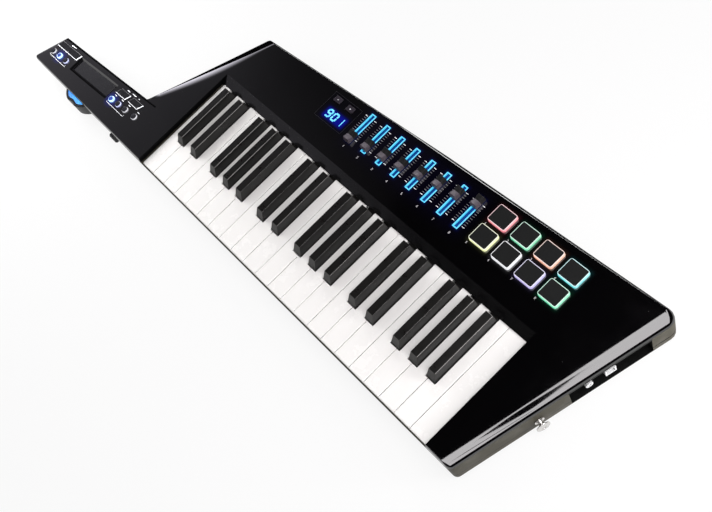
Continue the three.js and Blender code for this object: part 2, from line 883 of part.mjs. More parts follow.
// White key: a moulded cap, open below, notched beside its black neighbours
function whiteKey(index) {
  const left = index * whitePitch + keyGap / 2;
  const right = (index + 1) * whitePitch - keyGap / 2;
  const middle = (left + right) / 2;
  const reach = blackWidth / 2 + neighbourGap;
  const near = blackCentres.filter((x) => x + reach > left && x - reach < right);
  const tailLeft = Math.max(left, ...near.filter((x) => x < middle).map((x) => x + reach));
  const tailRight = Math.min(right, ...near.filter((x) => x > middle).map((x) => x - reach));
  const notchY = blackFront - neighbourGap;
  const rear = pivotY + hookRear;
  const notch = (cut, xs, y) => (cut ? xs.map((x) => [x, y]) : []);
  const plan = (inset, end) => [
    [left + inset, inset],
    [right - inset, inset],
    ...notch(tailRight < right, [right - inset, tailRight - inset], notchY - inset),
    [tailRight - inset, end],
    [tailLeft + inset, end],
    ...notch(tailLeft > left, [tailLeft + inset, left + inset], notchY - inset),
  ];
  const outer = prism(plan(0, rear), keyTop - whiteFrontDrop, keyTop);
  const hookStart = pivotY - hookFront;
  const hollow = prism(plan(keyWall, hookStart), keyTop - whiteFrontDrop - overrun, keyTop - keySkin);
  const relief = block(
    left - overrun,
    right + overrun,
    whiteReliefStart,
    hookStart,
    keyTop - whiteFrontDrop - overrun,
    keyTop - whiteTailDrop,
  );
  const underHook = block(
    left - overrun,
    right + overrun,
    hookStart - overrun,
    rear + overrun,
    keyTop - whiteFrontDrop - overrun,
    pivotHeight - hookDrop,
  );
  const chamfer = barAlongX(
    [
      [-overrun, keyTop - frontChamfer - overrun],
      [frontChamfer + overrun, keyTop + overrun],
      [-overrun, keyTop + overrun],
    ],
    left - overrun,
    right + overrun,
  );
  const cuts = joined([hollow, relief, underHook, chamfer, pivotNotch(left, right)]);
  return outer.subtract(cuts);
}

// Black key: a tapered ridge with a sloped front, open below, with a low tail to the pivot
function blackKey() {
  const half = blackWidth / 2;
  const ridge = blackRidgeWidth / 2;
  const rear = whiteVisible - blackRearGap;
  const rect = (halfWidth, front, back) => [
    [-halfWidth, front],
    [halfWidth, front],
    [halfWidth, back],
    [-halfWidth, back],
  ];
  const body = loft([
    { z: keyTop - blackSkirt, points: rect(half, blackFront, rear) },
    { z: keyTop, points: rect(half, blackFront, rear) },
    {
      z: keyTop + blackRise,
      points: rect(ridge, blackFront + blackFrontSlope, rear - blackRearSlope),
    },
  ]);
  const hollow = loft([
    {
      z: keyTop - blackSkirt - overrun,
      points: rect(half - keyWall, blackFront + keyWall, rear - keyWall),
    },
    { z: keyTop, points: rect(half - keyWall, blackFront + keyWall, rear - keyWall) },
    {
      z: keyTop + blackRise - keySkin,
      points: rect(
        ridge - keyWall,
        blackFront + blackFrontSlope + keyWall,
        rear - blackRearSlope - keyWall,
      ),
    },
  ]);
  const tailHalf = blackTailWidth / 2;
  const tail = block(
    -tailHalf,
    tailHalf,
    rear - keyWall / 2,
    pivotY + hookRear,
    keyTop - blackSkirt,
    keyTop - blackTailDrop,
  );
  const hook = pivotHook(-tailHalf, tailHalf, keyTop - blackTailDrop);
  const ridgeKey = body.subtract(hollow);
  return joined([ridgeKey, tail, hook]).subtract(pivotNotch(-tailHalf, tailHalf));
}

// Main board with the slide pots, the display module and a sensor under each pad
function circuitBoard() {
  const board = prism(
    [
      [boardLeft, boardFront],
      [boardRight, boardFront],
      [boardRight, boardRearRight],
      [boardLeft, boardRearLeft],
    ],
    boardHeight,
    boardTop,
  );
  const inBoard = boardHeight + boardThickness / 2;
  const parts = [board];
  const potFront = slotFront - potFrontInset;
  for (let index = 0; index < faderCount; index++) {
    const x = faderX(index);
    const halfPot = potWidth / 2;
    const groove = potGroove / 2;
    const potRear = potFront + potLength;
    const potTop = boardTop + potHeight;
    const can = block(x - halfPot, x + halfPot, potFront, potRear, inBoard, potTop);
    const slot = block(
      x - groove,
      x + groove,
      slotFront,
      slotFront + slotLength,
      boardTop + potGrooveFloor,
      potTop + overrun,
    );
    parts.push(can.subtract(slot));
  }
  const left = windowLeft + readoutInsetX + windowGap;
  const front = windowFront + readoutInsetY + windowGap;
  parts.push(
    block(
      left,
      left + readoutWidth - windowGap * 2,
      front,
      front + readoutDepth - windowGap * 2,
      inBoard,
      readoutTop,
    ),
  );
  return joined(parts);
}

// Fader cap: a saddle with a stem that runs down through the slot into the pot
function faderCap() {
  const half = capLength / 2;
  const low = panelTop + capLift;
  const high = low + capHeight;
  const crestY = half - capCrest;
  const saddle = barAlongX(
    [
      [-half, low],
      [half, low],
      [half, high - capShoulder * 2],
      [crestY + capShoulder, high],
      [crestY - capShoulder, high],
      [0, high - capValley],
      [capShoulder - crestY, high],
      [-crestY - capShoulder, high],
      [-half, high - capShoulder * 2],
    ],
    -capWidth / 2,
    capWidth / 2,
  );
  const stem = block(
    -stemWidth / 2,
    stemWidth / 2,
    -stemLength / 2,
    stemLength / 2,
    boardTop + potGrooveFloor + stemClearance,
    low + capHeight / 2,
  );
  return saddle.add(stem);
}

// One silicone sheet with a raised pad through each opening and a plunger under each pad
function padSheet() {
  const low = sheetTop - sheetThickness;
  const reachX = padWidth / 2 + sheetMargin;
  const reachY = padDepth / 2 + sheetMargin;
  const lastX = padFirstX + (padColumns - 1) * padPitchX;
  const lastY = padFirstY + (padRows - 1) * padPitchY;
  const parts = [
    block(padFirstX - reachX, lastX + reachX, padFirstY - reachY, lastY + reachY, low, sheetTop),
  ];
  for (let column = 0; column < padColumns; column++)
    for (let row = 0; row < padRows; row++) {
      const x = padFirstX + column * padPitchX;
      const y = padFirstY + row * padPitchY;
      parts.push(
        loft([
          { z: low, points: padOutline(column, row, padFlare) },
          { z: panelTop, points: padOutline(column, row, padFlare) },
          { z: panelTop + padProud, points: padOutline(column, row, 0) },
        ]),
      );
      parts.push(post(x, y, plungerRadius, boardTop + plungerGap, sheetTop, circleSides / 2));
    }
  return joined(parts);
}

// A rubber keypad: round buttons on one strip under the panel
function roundKeypad(buttons) {
  const top = sheetTop - sheetGap;
  const low = top - keypadThickness;
  const reach = roundButtonRadius + keypadMargin;
  const ends = [buttons[0], buttons[buttons.length - 1]];
  const strip = wasm.Manifold.hull(ends.map(([x, y]) => post(x, y, reach, low, top)));
  const caps = buttons.map(([x, y]) =>
    post(x, y, roundButtonRadius, low, panelTop + roundButtonProud),
  );
  return joined([strip, ...caps]);
}

function displayKeypad() {
  const low = sheetTop - keypadThickness;
  const [firstX, lastX] = displayButtons;
  const reachX = displayButtonWidth / 2 + keypadMargin;
  const reachY = displayButtonDepth / 2 + keypadMargin;
  const strip = block(
    firstX - reachX,
    lastX + reachX,
    displayButtonY - reachY,
    displayButtonY + reachY,
    low,
    sheetTop,
  );
  const caps = displayButtons.map((x) => displayButtonBlock(x, 0, low, panelTop + buttonProud));
  return joined([strip, ...caps]);
}

function displayWindow() {
  const low = panelTop - windowThickness;
  const plate = block(
    windowLeft + windowGap,
    windowLeft + windowWidth - windowGap,
    windowFront + windowGap,
    windowFront + windowDepth - windowGap,
    low,
    panelTop,
  );
  const holes = displayButtons.map((x) =>
    displayButtonBlock(x, buttonGap, low - overrun, panelTop + overrun),
  );
  return plate.subtract(joined(holes));
}

function touchStrip() {
  const low = panelTop - stripRecess + stripGap;
  return prism(stripOutline(stripGap), low, low + stripThickness);
}

// Neck wheel: a thick sector with a finger scoop, turning on an upright pin
function neckWheel() {
  const points = [[0, 0]];
  for (let step = 0; step <= wheelSteps; step++) {
    const swing = wheelSpread * ((2 * step) / wheelSteps - 1);
    const dip = Math.max(0, Math.cos((swing / scoopSpread) * (Math.PI / 2)));
    const inScoop = Math.abs(swing) < scoopSpread;
    const radius = wheelRadius - (inScoop ? scoopDepth * dip : 0);
    points.push([radius * Math.sin(swing), -radius * Math.cos(swing)]);
  }
  const sector = prism(points, wheelBottom, wheelBottom + wheelThickness);
  const hub = post(0, 0, wheelHub, wheelBottom, wheelBottom + wheelThickness);
  const bore = post(
    0,
    0,
    pinRadius + pinClearance,
    wheelBottom - overrun,
    wheelBottom + wheelThickness + overrun,
  );
  return sector.add(hub).subtract(bore);
}

// Thumb rocker: two humps outside the neck, tilting on an axle behind the wall
function thumbRocker() {
  const half = rockerHeight / 2;
  const hump = half * rockerHumpShare;
  const back = frontY + wall + rockerBack;
  const profile = [
    [back, rockerZ + half],
    [frontY - rockerReach * rockerEndShare, rockerZ + half],
    [frontY - rockerReach, rockerZ + hump],
    [frontY - rockerReach + rockerValley, rockerZ],
    [frontY - rockerReach, rockerZ - hump],
    [frontY - rockerReach * rockerEndShare, rockerZ - half],
    [back, rockerZ - half],
  ];
  const body = barAlongX(profile, rockerX - rockerWidth / 2, rockerX + rockerWidth / 2);
  const axleHalf = rockerWidth / 2 + rockerAxleReach;
  const axle = new THREE.CylinderGeometry(rockerAxle, rockerAxle, axleHalf * 2, circleSides / 2);
  axle.rotateZ(Math.PI / 2).translate(rockerX, frontY + rockerAxleDepth, rockerZ);
  return body.add(solid(axle));
}

// Strap peg: collar, stem and flange turned on one axis, with a root in the casing
function strapPeg() {
  const gap = pegRootGap;
  const profile = [
    [0, -pegRootDepth],
    [pegRoot, -pegRootDepth],
    [pegRoot, gap],
    [pegCollar, gap],
    [pegCollar, gap + pegCollarDepth],
    [pegStem, gap + pegCollarDepth * 2],
    [pegStem, pegReach - pegFlangeRound],
    [pegFlange - pegFlangeRound, pegReach],
    [pegFlange, pegReach + pegFlangeRound],
    [pegFlange, pegReach + pegFlangeDepth - pegFlangeRound],
    [pegFlange - pegFlangeRound, pegReach + pegFlangeDepth],
    [0, pegReach + pegFlangeDepth],
  ].map(([radius, out]) => new THREE.Vector2(radius, out));
  const geometry = new THREE.LatheGeometry(profile, pegSides);
  return onEndWall(solid(geometry.rotateZ(-Math.PI / 2).translate(0, pegAlong, pegZ)));
}

// Connector board behind the recess, with a jack barrel and a square socket standing through it
function connectorBoard() {
  const boardFace = -recessDepth - wall - socketBoardGap;
  const boardBack = boardFace - socketBoardThickness;
  const inBoard = (boardFace + boardBack) / 2;
  const jack = recessStart + jackAlong;
  const usb = recessStart + usbAlong;
  const board = block(
    boardBack,
    boardFace,
    jack - jackRadius - socketBoardMargin,
    usb + usbWidth / 2 + socketBoardMargin,
    wall + socketBoardFoot,
    recessTop + wall,
  );
  const barrel = endCylinder(jack, socketZ, jackRadius, inBoard, jackReach - recessDepth);
  const bore = endCylinder(jack, socketZ, jackBore, -recessDepth, overrun);
  const shell = usbBlock(0, inBoard, usbReach - recessDepth);
  const face = usbReach - recessDepth;
  const mouth = block(
    face - usbMouthDepth,
    face + overrun,
    usb - usbMouthWidth / 2,
    usb + usbMouthWidth / 2,
    socketZ - usbMouthHeight / 2,
    socketZ + usbMouthHeight / 2,
  );
  return onEndWall(joined([board, barrel, shell]).subtract(bore.add(mouth)));
}

// Battery door: a flush plate in its rebate, with a finger catch at the front edge
function batteryDoor() {
  const right = doorLeft + doorWidth;
  const rear = doorFront + doorDepth;
  const plate = block(
    doorLeft + doorGap,
    right - doorGap,
    doorFront + doorGap,
    rear - doorGap,
    0,
    doorThickness - doorGap,
  );
  const inner = doorLedge + doorGap;
  const plug = block(
    doorLeft + inner,
    right - inner,
    doorFront + inner,
    rear - inner,
    0,
    wall,
  );
  const middle = (doorLeft + right) / 2;
  const scoop = block(
    middle - doorCatch / 2,
    middle + doorCatch / 2,
    doorFront,
    doorFront + doorLedge + doorCatchReach,
    -overrun,
    doorThickness / 2,
  );
  return plate.add(plug).subtract(scoop);
}

piece("top_shell", topShell(), glossBlack);
piece("bottom_shell", bottomShell(), oliveGrey);
piece("keybed_frame", keybedFrame(), frameGrey);
piece("circuit_board", circuitBoard(), boardGreen);
piece("connector_board", connectorBoard(), chrome);
piece("display_window", displayWindow(), smoked);
piece("display_keypad", displayKeypad(), rubber);
piece("pad_sheet", padSheet(), rubber);
piece("touch_strip", touchStrip(), darkPlastic);
piece("head_keypad", roundKeypad(headButtons), rubber);
piece("neck_keypad", roundKeypad(neckButtons), rubber);
piece("neck_wheel", neckWheel(), darkPlastic, wheelX, wheelY);
piece("thumb_rocker", thumbRocker(), darkPlastic);
piece("strap_peg", strapPeg(), chrome);
piece("battery_door", batteryDoor(), darkPlastic);

const twoDigits = (number) => String(number).padStart(2, "0");
for (let index = 0; index < whiteCount; index++)
  piece("white_key_" + twoDigits(index + 1), whiteKey(index), ivory);
const blackShape = blackKey();
blackCentres.forEach((x, index) => {
  piece("black_key_" + twoDigits(index + 1), blackShape, ebony, x);
});
const capShape = faderCap();
const capTravel = slotLength - stemLength;
capPlaceShares.forEach((share, index) => {
  const y = slotFront + stemLength / 2 + share * capTravel;
  piece("fader_cap_" + (index + 1), capShape, darkPlastic, faderX(index), y);
});

export default keytar;
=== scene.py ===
"""A keytar on a pale floor: gloss black casing, 37 keys, faders, lit pads, a control neck.

Lengths are written in millimetres. X is measured from the left edge of the first white key, Y from the
fronts of the white keys, Z from the underside, and at() turns them into the shared frame in metres.
Node sizes, lights, cards and the camera are given in that frame's metres.
"""
import math

import bmesh
import bpy
from mathutils import Euler, Matrix, Vector


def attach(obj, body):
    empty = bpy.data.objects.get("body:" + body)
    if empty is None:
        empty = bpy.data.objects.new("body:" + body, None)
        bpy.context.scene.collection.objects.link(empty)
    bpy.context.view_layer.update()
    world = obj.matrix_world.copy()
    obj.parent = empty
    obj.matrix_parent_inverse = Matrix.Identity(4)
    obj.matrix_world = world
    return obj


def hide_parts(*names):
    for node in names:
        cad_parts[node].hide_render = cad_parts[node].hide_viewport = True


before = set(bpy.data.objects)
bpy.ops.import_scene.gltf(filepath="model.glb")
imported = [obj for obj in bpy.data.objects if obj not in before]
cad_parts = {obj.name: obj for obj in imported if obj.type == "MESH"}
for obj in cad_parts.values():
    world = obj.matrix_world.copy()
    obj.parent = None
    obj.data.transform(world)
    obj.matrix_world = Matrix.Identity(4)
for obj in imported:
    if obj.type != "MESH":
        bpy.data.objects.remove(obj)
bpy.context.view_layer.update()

# ---------------------------------------------------------------- sizes
MM = 0.001
KEYS_LEFT = -258.5
KEYS_FRONT = -69.75

KEY_TOP = 33
PANEL = 40
PRINT = 0.06
WHITE_COUNT = 22
BLACK_COUNT = 15

WELL_LEFT, WELL_RIGHT, WELL_REAR = -3, 520, 151
SLOPE_FRONT, SLOPE_REAR = 139.4, 150.8

FADER_X = [199.5 + 24.95 * i for i in range(8)]
FADER_MIDDLE = 202.2
SLOT_FRONT, SLOT_REAR = 182.5, 221.9
FRAME_FRONT, FRAME_REAR, FRAME_WIDTH, FRAME_BAND = 180.9, 223.5, 7.4, 1.35
CAP_SHARES = [0.04, 0.17, 0.26, 0.36, 0.52, 0.66, 0.75, 0.93]
CAP_FIRST_Y, CAP_TRAVEL = 185.0, 34.4
CAP_SIZE = (8.8, 15, 7.6)
CAP_LOW = 40.8
CAP_STEPS = 20
SADDLE_HALF, SADDLE_DIP, SADDLE_EDGE, END_SLOPE, RIB = 6.5, 1.8, 0.2, 4.5, 0.12

PAD_X = [407.6 + 32.3 * i for i in range(4)]
PAD_Y = [191.8, 219.7]
PAD_HALF, PAD_LOW, PAD_HIGH, PAD_CORNER = (12.5, 11.15), 39.0, 44.1, 2.6
PAD_TOP_SHARES = (24.4 / 25.0, 21.7 / 22.3)
FACE_HALF, FACE_LOW, FACE_HIGH, FACE_CORNER = (11.55, 10.2), 43.75, 44.45, 1.5

WINDOW = (136.7, 181.3, 183.6, 218.2)
READOUT = (144.6, 184.6, 180.2, 200.6)
DIGIT_LOW, DIGIT_HIGH = PANEL + 0.01, PANEL + 0.13
MARK_LOW = 40.75

HEAD_BUTTONS = [(-251.9 + 15.45 * i, 22.2 + 0.8 * i) for i in range(3)]
NECK_BUTTONS = [(-108.9, 29.4), (-94.3, 30.5), (-78.6, 31.6), (-58.9, 32.7)]
STRIP_LEFT, STRIP_RIGHT, STRIP_FRONT, STRIP_REAR = -207.5, -117, 18, 49.5
FILM_TOP, FILM_SINK = 38.45, 0.75
WHEEL = (-167, 22)
CROWN_RADIUS, CROWN_SIDES, CROWN_THICK, CROWN_Z, CROWN_INSIDE = 30.2, 72, 0.35, 31.9, 12
SCOOP_HALF_TURN, SCOOP_DEPTH = 18, 3.0

# The left cheek's edge, the shoulder beside it, and how wide the panel rolls down to it
CHEEK_ROOT, CHEEK_REAR = (-66, 61), (0, 219)
SHOULDER_ROOT, SHOULDER_GAIN = 0.5, 11.5
ROLL_ENDS, ROLL_GAIN = 4.0, 32.0
CHEEK_TILT = 0.17

SEAM_Z, SEAM_HALF = 10.5, 0.45
END_FRONT = (552.5, -1.5)
END_ANGLE = math.atan2(253, 57)
PEG_ALONG, PEG_Z = 97, 15
RECESS_START, RECESS_LENGTH, RECESS_DEPTH, RECESS_LOW, RECESS_TOP = 133, 92, 13, 2.1, 29.5
LINTEL = 9


def at(x, y, z):
    return Vector((x + KEYS_LEFT, y + KEYS_FRONT, z)) * MM


def mm(point):
    """A point of the shared frame in the part's millimetres."""
    return point.x / MM - KEYS_LEFT, point.y / MM - KEYS_FRONT, point.z / MM


def end_wall(along, out, z):
    """A point by its run along the right end, its distance out of it and its height."""
    c, s = math.cos(END_ANGLE), math.sin(END_ANGLE)
    return END_FRONT[0] + along * c + out * s, END_FRONT[1] + along * s - out * c, z


# ---------------------------------------------------------------- hand tools
def clear():
    if bpy.context.mode != "OBJECT":
        bpy.ops.object.mode_set(mode="OBJECT")
    bpy.ops.object.select_all(action="DESELECT")


def take(piece):
    clear()
    piece.select_set(True)
    bpy.context.view_layer.objects.active = piece


def pick_none():
    bpy.ops.mesh.select_all(action="DESELECT")


def pick_by(kind):
    """Selects nothing, and by points, edges or faces from here on."""
    bpy.ops.mesh.select_mode(type=kind)
    pick_none()


def edit(piece, kind="FACE"):
    take(piece)
    bpy.ops.object.mode_set(mode="EDIT")
    pick_by(kind)


def done():
    bpy.ops.object.mode_set(mode="OBJECT")


def pick(kind, test):
    """Adds the faces, edges or points that pass a test to the selection."""
    mesh = bpy.context.object.data
    shape = bmesh.from_edit_mesh(mesh)
    for part in getattr(shape, kind):
        if test(part):
            part.select_set(True)
    bmesh.update_edit_mesh(mesh)


def pick_faces(test):
    pick("faces", lambda face: test(mm(face.calc_center_median()), face.normal))


def pick_edges(test):
    """Selects edges by their middle and their direction."""
    def passes(edge):
        a, b = (point.co for point in edge.verts)
        return test(mm((a + b) / 2), (b - a).normalized())
    pick("edges", passes)


def pick_points(test):
    pick("verts", lambda point: test(mm(point.co)))


def all_points():
    bpy.ops.mesh.select_all(action="SELECT")


def move(x, y, z):
    bpy.ops.transform.translate(value=(x * MM, y * MM, z * MM))


def grow(x, y, z=1):
    bpy.ops.transform.resize(value=(x, y, z))


def raise_faces(z):
    bpy.ops.mesh.extrude_region_move(TRANSFORM_OT_translate={"value": (0, 0, z * MM)})


def inset(width, depth=0.0):
    bpy.ops.mesh.inset(thickness=width * MM, depth=depth * MM, use_even_offset=True)


def bevel(width, segments):
    bpy.ops.mesh.bevel(offset=width * MM, segments=segments, affect="EDGES")


def settle(piece, name):
    """Writes the object's place, turn and size into its mesh, and names it."""
    take(piece)
    bpy.ops.object.transform_apply(location=True, rotation=True, scale=True)
    piece.name = piece.data.name = name
    return piece


def block(name, low, high):
    clear()
    low, high = at(*low), at(*high)
    bpy.ops.mesh.primitive_cube_add(size=1, location=(low + high) / 2)
    piece = bpy.context.object
    piece.scale = high - low
    return settle(piece, name)


def round_about(x, y, half, low, high):
    """The two corners of a block round an upright axis."""
    return (x - half[0], y - half[1], low), (x + half[0], y + half[1], high)


def upright(way):
    return abs(way.z) > 0.9


def is_upright(p, way):
    return upright(way)


def top_rim(high):
    return lambda p, way: p[2] > high - 0.001 and not upright(way)


def faces_up(p, normal):
    return normal.z > 0.9


def slab(name, low, high, corner, edge, corner_steps=4, edge_steps=2):
    """A block with round upright corners and a softened top edge."""
    piece = block(name, low, high)
    edit(piece, "EDGE")
    pick_edges(is_upright)
    bevel(corner, corner_steps)
    if edge:
        pick_none()
        pick_edges(top_rim(high[2]))
        bevel(edge, edge_steps)
    done()
    return piece


def turned(name, rings, sides, place=(0, 0, 0), direction=None):
    """A round piece: a cylinder whose end is extruded and sized ring by ring, then set in its place."""
    clear()
    (first, low), (second, high) = rings[:2]
    bpy.ops.mesh.primitive_cylinder_add(
        vertices=sides, radius=first * MM, depth=(high - low) * MM, location=(0, 0, (low + high) / 2 * MM)
    )
    piece = settle(bpy.context.object, name)
    edit(piece)
    pick_faces(faces_up)
    if second != first:
        grow(second / first, second / first)
    radius, height = second, high
    for next_radius, next_height in rings[2:]:
        raise_faces(next_height - height)
        grow(next_radius / radius, next_radius / radius)
        radius, height = next_radius, next_height
    done()
    if direction is not None:
        piece.rotation_euler = Vector((0, 0, 1)).rotation_difference(direction).to_euler()
    piece.location = at(*place)
    return settle(piece, name)


def ring(name, low, high, band, corner, edge=0.0):
    """A flat frame: a block whose top and bottom are inset and bridged into an opening."""
    piece = block(name, low, high)
    edit(piece, "EDGE")
    pick_edges(is_upright)
    bevel(corner, 3)
    pick_by("FACE")
    pick_faces(lambda p, normal: abs(normal.z) > 0.9)
    inset(band)
    bpy.ops.mesh.bridge_edge_loops()
    if edge:
        pick_by("EDGE")
        pick_edges(top_rim(high[2]))
        bevel(edge, 2)
    done()
    return piece


def apply(piece, modifier):
    take(piece)
    bpy.ops.object.modifier_apply(modifier=modifier.name)


def soften(piece, width, segments, angle):
    """Rounds the sharp edges with a Bevel modifier."""
    rounded = piece.modifiers.new("soft edges", "BEVEL")
    rounded.width = width * MM
    rounded.segments = segments
    rounded.limit_method = "ANGLE"
    rounded.angle_limit = math.radians(angle)
    rounded.use_clamp_overlap = True
    apply(piece, rounded)


def smooth(piece, angle=35, weighted=True, crisp=None):
    """Shades smoothly but for the sharp edges and those that crisp() picks."""
    take(piece)
    bpy.ops.object.shade_smooth_by_angle(angle=math.radians(angle))
    if crisp:
        edit(piece, "EDGE")
        pick_edges(crisp)
        bpy.ops.mesh.mark_sharp()
        done()
    if weighted:
        evened = piece.modifiers.new("even normals", "WEIGHTED_NORMAL")
        evened.keep_sharp = True
        apply(piece, evened)
    return piece


def copied(piece, name, x=0.0, y=0.0, z=0.0):
    """A copy with its own mesh, moved along."""
    other = piece.copy()
    other.data = piece.data.copy()
    other.data.transform(Matrix.Translation(Vector((x, y, z)) * MM))
    other.name = other.data.name = name
    bpy.context.scene.collection.objects.link(other)
    return other


def joined(name, parts):
    clear()
    for part in parts:
        part.select_set(True)
    bpy.context.view_layer.objects.active = parts[0]
    bpy.ops.object.join()
    parts[0].name = parts[0].data.name = name
    return parts[0]


def throw_away(*shapes):
    """Removes the shapes that were only there to be copied."""
    for shape in shapes:
        bpy.data.objects.remove(shape)


def finish_with(piece, *materials):
    piece.data.materials.clear()
    for material in materials:
        piece.data.materials.append(material)


def put(piece, materials, body, slot, *nodes):
    """Gives a piece its finishes, its body and the solids it stands for.

    A piece that has its finishes already comes with None. The slot is not used.
    """
    if materials is not None:
        finish_with(piece, *(materials if isinstance(materials, list) else [materials]))
    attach(piece, body)
    if nodes:
        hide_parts(*nodes)
    return piece


def printed(piece, material):
    """Puts a mark on the gloss casing."""
    return put(piece, material, "casing", "gloss_black")


def behind_glass(piece, material):
    """Puts a light or a frame on the casing."""
    return put(piece, material, "casing", "smoked")


def lettering(name, words, place, size):
    """A printed number: text made a mesh, laid on the panel."""
    clear()
    bpy.ops.object.text_add(location=at(*place))
    text = bpy.context.object
    text.data.body = words
    text.data.size = size * MM
    text.data.align_x = text.data.align_y = "CENTER"
    text.data.extrude = PRINT / 2 * MM
    text.data.offset = 0.06 * MM
    text.data.resolution_u = 3
    bpy.ops.object.convert(target="MESH")
    piece = settle(bpy.context.object, name)
    edit(piece)
    all_points()
    bpy.ops.mesh.remove_doubles(threshold=0.000001)
    bpy.ops.mesh.normals_make_consistent(inside=False)
    done()
    return piece


def dressed(node, name, materials, body, slot, width, segments=2, angle=50, smooth_angle=40, crisp=None):
    """Stands a finished copy in for a solid: merged, its flats joined, its edges rounded."""
    piece = bpy.data.objects.new(name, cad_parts[node].data.copy())
    piece.data.name = name
    bpy.context.scene.collection.objects.link(piece)
    edit(piece)
    all_points()
    bpy.ops.mesh.remove_doubles(threshold=0.000002)
    bpy.ops.mesh.dissolve_limited(angle_limit=math.radians(1))
    done()
    soften(piece, width, segments, angle)
    smooth(piece, smooth_angle, crisp=crisp)
    return put(piece, materials, body, slot, node)


# ---------------------------------------------------------------- node tools
ORIGIN = (0.0, 0.0, 0.0)


def rgb(r, g, b):
    return (r, g, b, 1.0)


def grey(tone):
    return (tone, tone, tone)


BLACK = rgb(*ORIGIN)


class Nodes:
    """A node tree with short calls for the nodes that the finishes need."""

    def __init__(self, tree):
        self.tree = tree

    def connect(self, value, socket):
        if isinstance(value, bpy.types.NodeSocket):
            self.tree.links.new(value, socket)
        else:
            socket.default_value = value

    def add(self, kind, settings=None, **inputs):
        """The outputs of a new node. An input goes by its label, or by i and its place."""
        made = self.tree.nodes.new("ShaderNode" + kind)
        for name, value in (settings or {}).items():
            setattr(made, name, value)
        for name, value in inputs.items():
            key = int(name[1:]) if name[1:].isdigit() else name.replace("_", " ")
            self.connect(value, made.inputs[key])
        return made.outputs

    def maths(self, operation, a, b=0.0, c=0.0, clamp=False):
        return self.add("Math", {"operation": operation, "use_clamp": clamp}, i0=a, i1=b, i2=c)[0]

    def vector(self, operation, a, b=ORIGIN, result="Vector"):
        return self.add("VectorMath", {"operation": operation}, i0=a, i1=b)[result]

    def mix(self, share, a, b, kind="MIX"):
        """Two colours mixed or put on top of each other."""
        return self.add("Mix", {"data_type": "RGBA", "blend_type": kind}, i0=share, i6=a, i7=b)[2]

    def varied(self, share, dark, light):
        return self.mix(share, rgb(*dark), rgb(*light))

    def within(self, value, low, high):
        """One between two values, zero outside."""
        return self.maths("MULTIPLY", self.maths("GREATER_THAN", value, low), self.maths("LESS_THAN", value, high))

    def share_between(self, value, low, high, most=1.0):
        """Zero to most, as a value runs from low to high."""
        return self.add("MapRange", Value=value, From_Min=low, From_Max=high, To_Max=most)[0]

    def noise(self, place, size, detail, roughness):
        scale = self.maths("DIVIDE", 1.0, size)
        return self.add("TexNoise", Vector=place, Scale=scale, Detail=detail, Roughness=roughness)["Fac"]


def group(name, inputs, outputs):
    """A shared effect: its nodes, the sockets that it is given and those that it gives."""
    tree = bpy.data.node_groups.new(name, "ShaderNodeTree")
    for label, value in inputs.items():
        kind = "NodeSocketVector" if isinstance(value, tuple) else "NodeSocketFloat"
        tree.interface.new_socket(name=label, in_out="INPUT", socket_type=kind).default_value = value
    for label in outputs:
        tree.interface.new_socket(name=label, in_out="OUTPUT", socket_type="NodeSocketFloat")
    given = tree.nodes.new("NodeGroupInput").outputs
    return Nodes(tree), given, tree.nodes.new("NodeGroupOutput").inputs


def grain_group():
    """Fine moulded grain: a height and a slow mottling, by its size in metres."""
    n, given, out = group(
        "moulded grain", {"Place": ORIGIN, "Size": 0.0006, "Mottle size": 0.02}, ["Height", "Mottle"]
    )
    n.connect(n.noise(given["Place"], given["Size"], 3.0, 0.6), out["Height"])
    n.connect(n.noise(given["Place"], given["Mottle size"], 4.0, 0.6), out["Mottle"])
    return n.tree


def handling_group():
    """Where hands have dulled a polished surface: cloudy patches with fine streaks."""
    n, given, out = group("handling", {"Place": ORIGIN, "Patch size": 0.05, "Amount": 0.5}, ["Mask"])
    clouds = n.noise(given["Place"], given["Patch size"], 6.0, 0.65)
    stretched = n.add("Mapping", Vector=given["Place"], Scale=(300.0, 2600.0, 300.0), Rotation=(0.0, 0.0, 0.4))[0]
    streaks = n.add("TexNoise", Vector=stretched, Scale=1.0, Detail=2.0)["Fac"]
    patch = n.share_between(clouds, 0.45, 0.75)
    mask = n.maths("MULTIPLY", patch, n.maths("MULTIPLY_ADD", streaks, 0.5, 0.6))
    n.connect(n.maths("MULTIPLY", mask, given["Amount"]), out["Mask"])
    return n.tree


def dust_group():
    """Sparse specks of dust."""
    n, given, out = group("dust", {"Place": ORIGIN, "Speck size": 0.002}, ["Mask"])
    scale = n.maths("DIVIDE", 1.0, given["Speck size"])
    cells = n.add("TexVoronoi", Vector=given["Place"], Scale=scale, Randomness=1.0)
    near = n.maths("LESS_THAN", cells["Distance"], 0.055)
    rare = n.maths("GREATER_THAN", n.add("SeparateColor", Color=cells["Color"])[0], 0.92)
    n.connect(n.maths("MULTIPLY", near, rare), out["Mask"])
    return n.tree


def halo_group():
    """Light spilt round a lit rectangle on the panel, fading over its reach."""
    n, given, out = group(
        "spilt light",
        {"Place": ORIGIN, "Centre": ORIGIN, "Half size": (0.01, 0.01, 0), "Reach": 0.01, "Power": 2.0}, ["Glow"],
    )
    away = n.vector("ABSOLUTE", n.vector("SUBTRACT", given["Place"], given["Centre"]))
    outside = n.vector("MAXIMUM", n.vector("SUBTRACT", away, given["Half size"]), ORIGIN)
    distance = n.vector("LENGTH", n.vector("MULTIPLY", outside, (1.0, 1.0, 0.0)), result="Value")
    near = n.maths("SUBTRACT", 1.0, n.maths("DIVIDE", distance, given["Reach"]), clamp=True)
    n.connect(n.maths("POWER", near, given["Power"]), out["Glow"])
    return n.tree


GRAIN, HANDLING, DUST, HALO = grain_group(), handling_group(), dust_group(), halo_group()


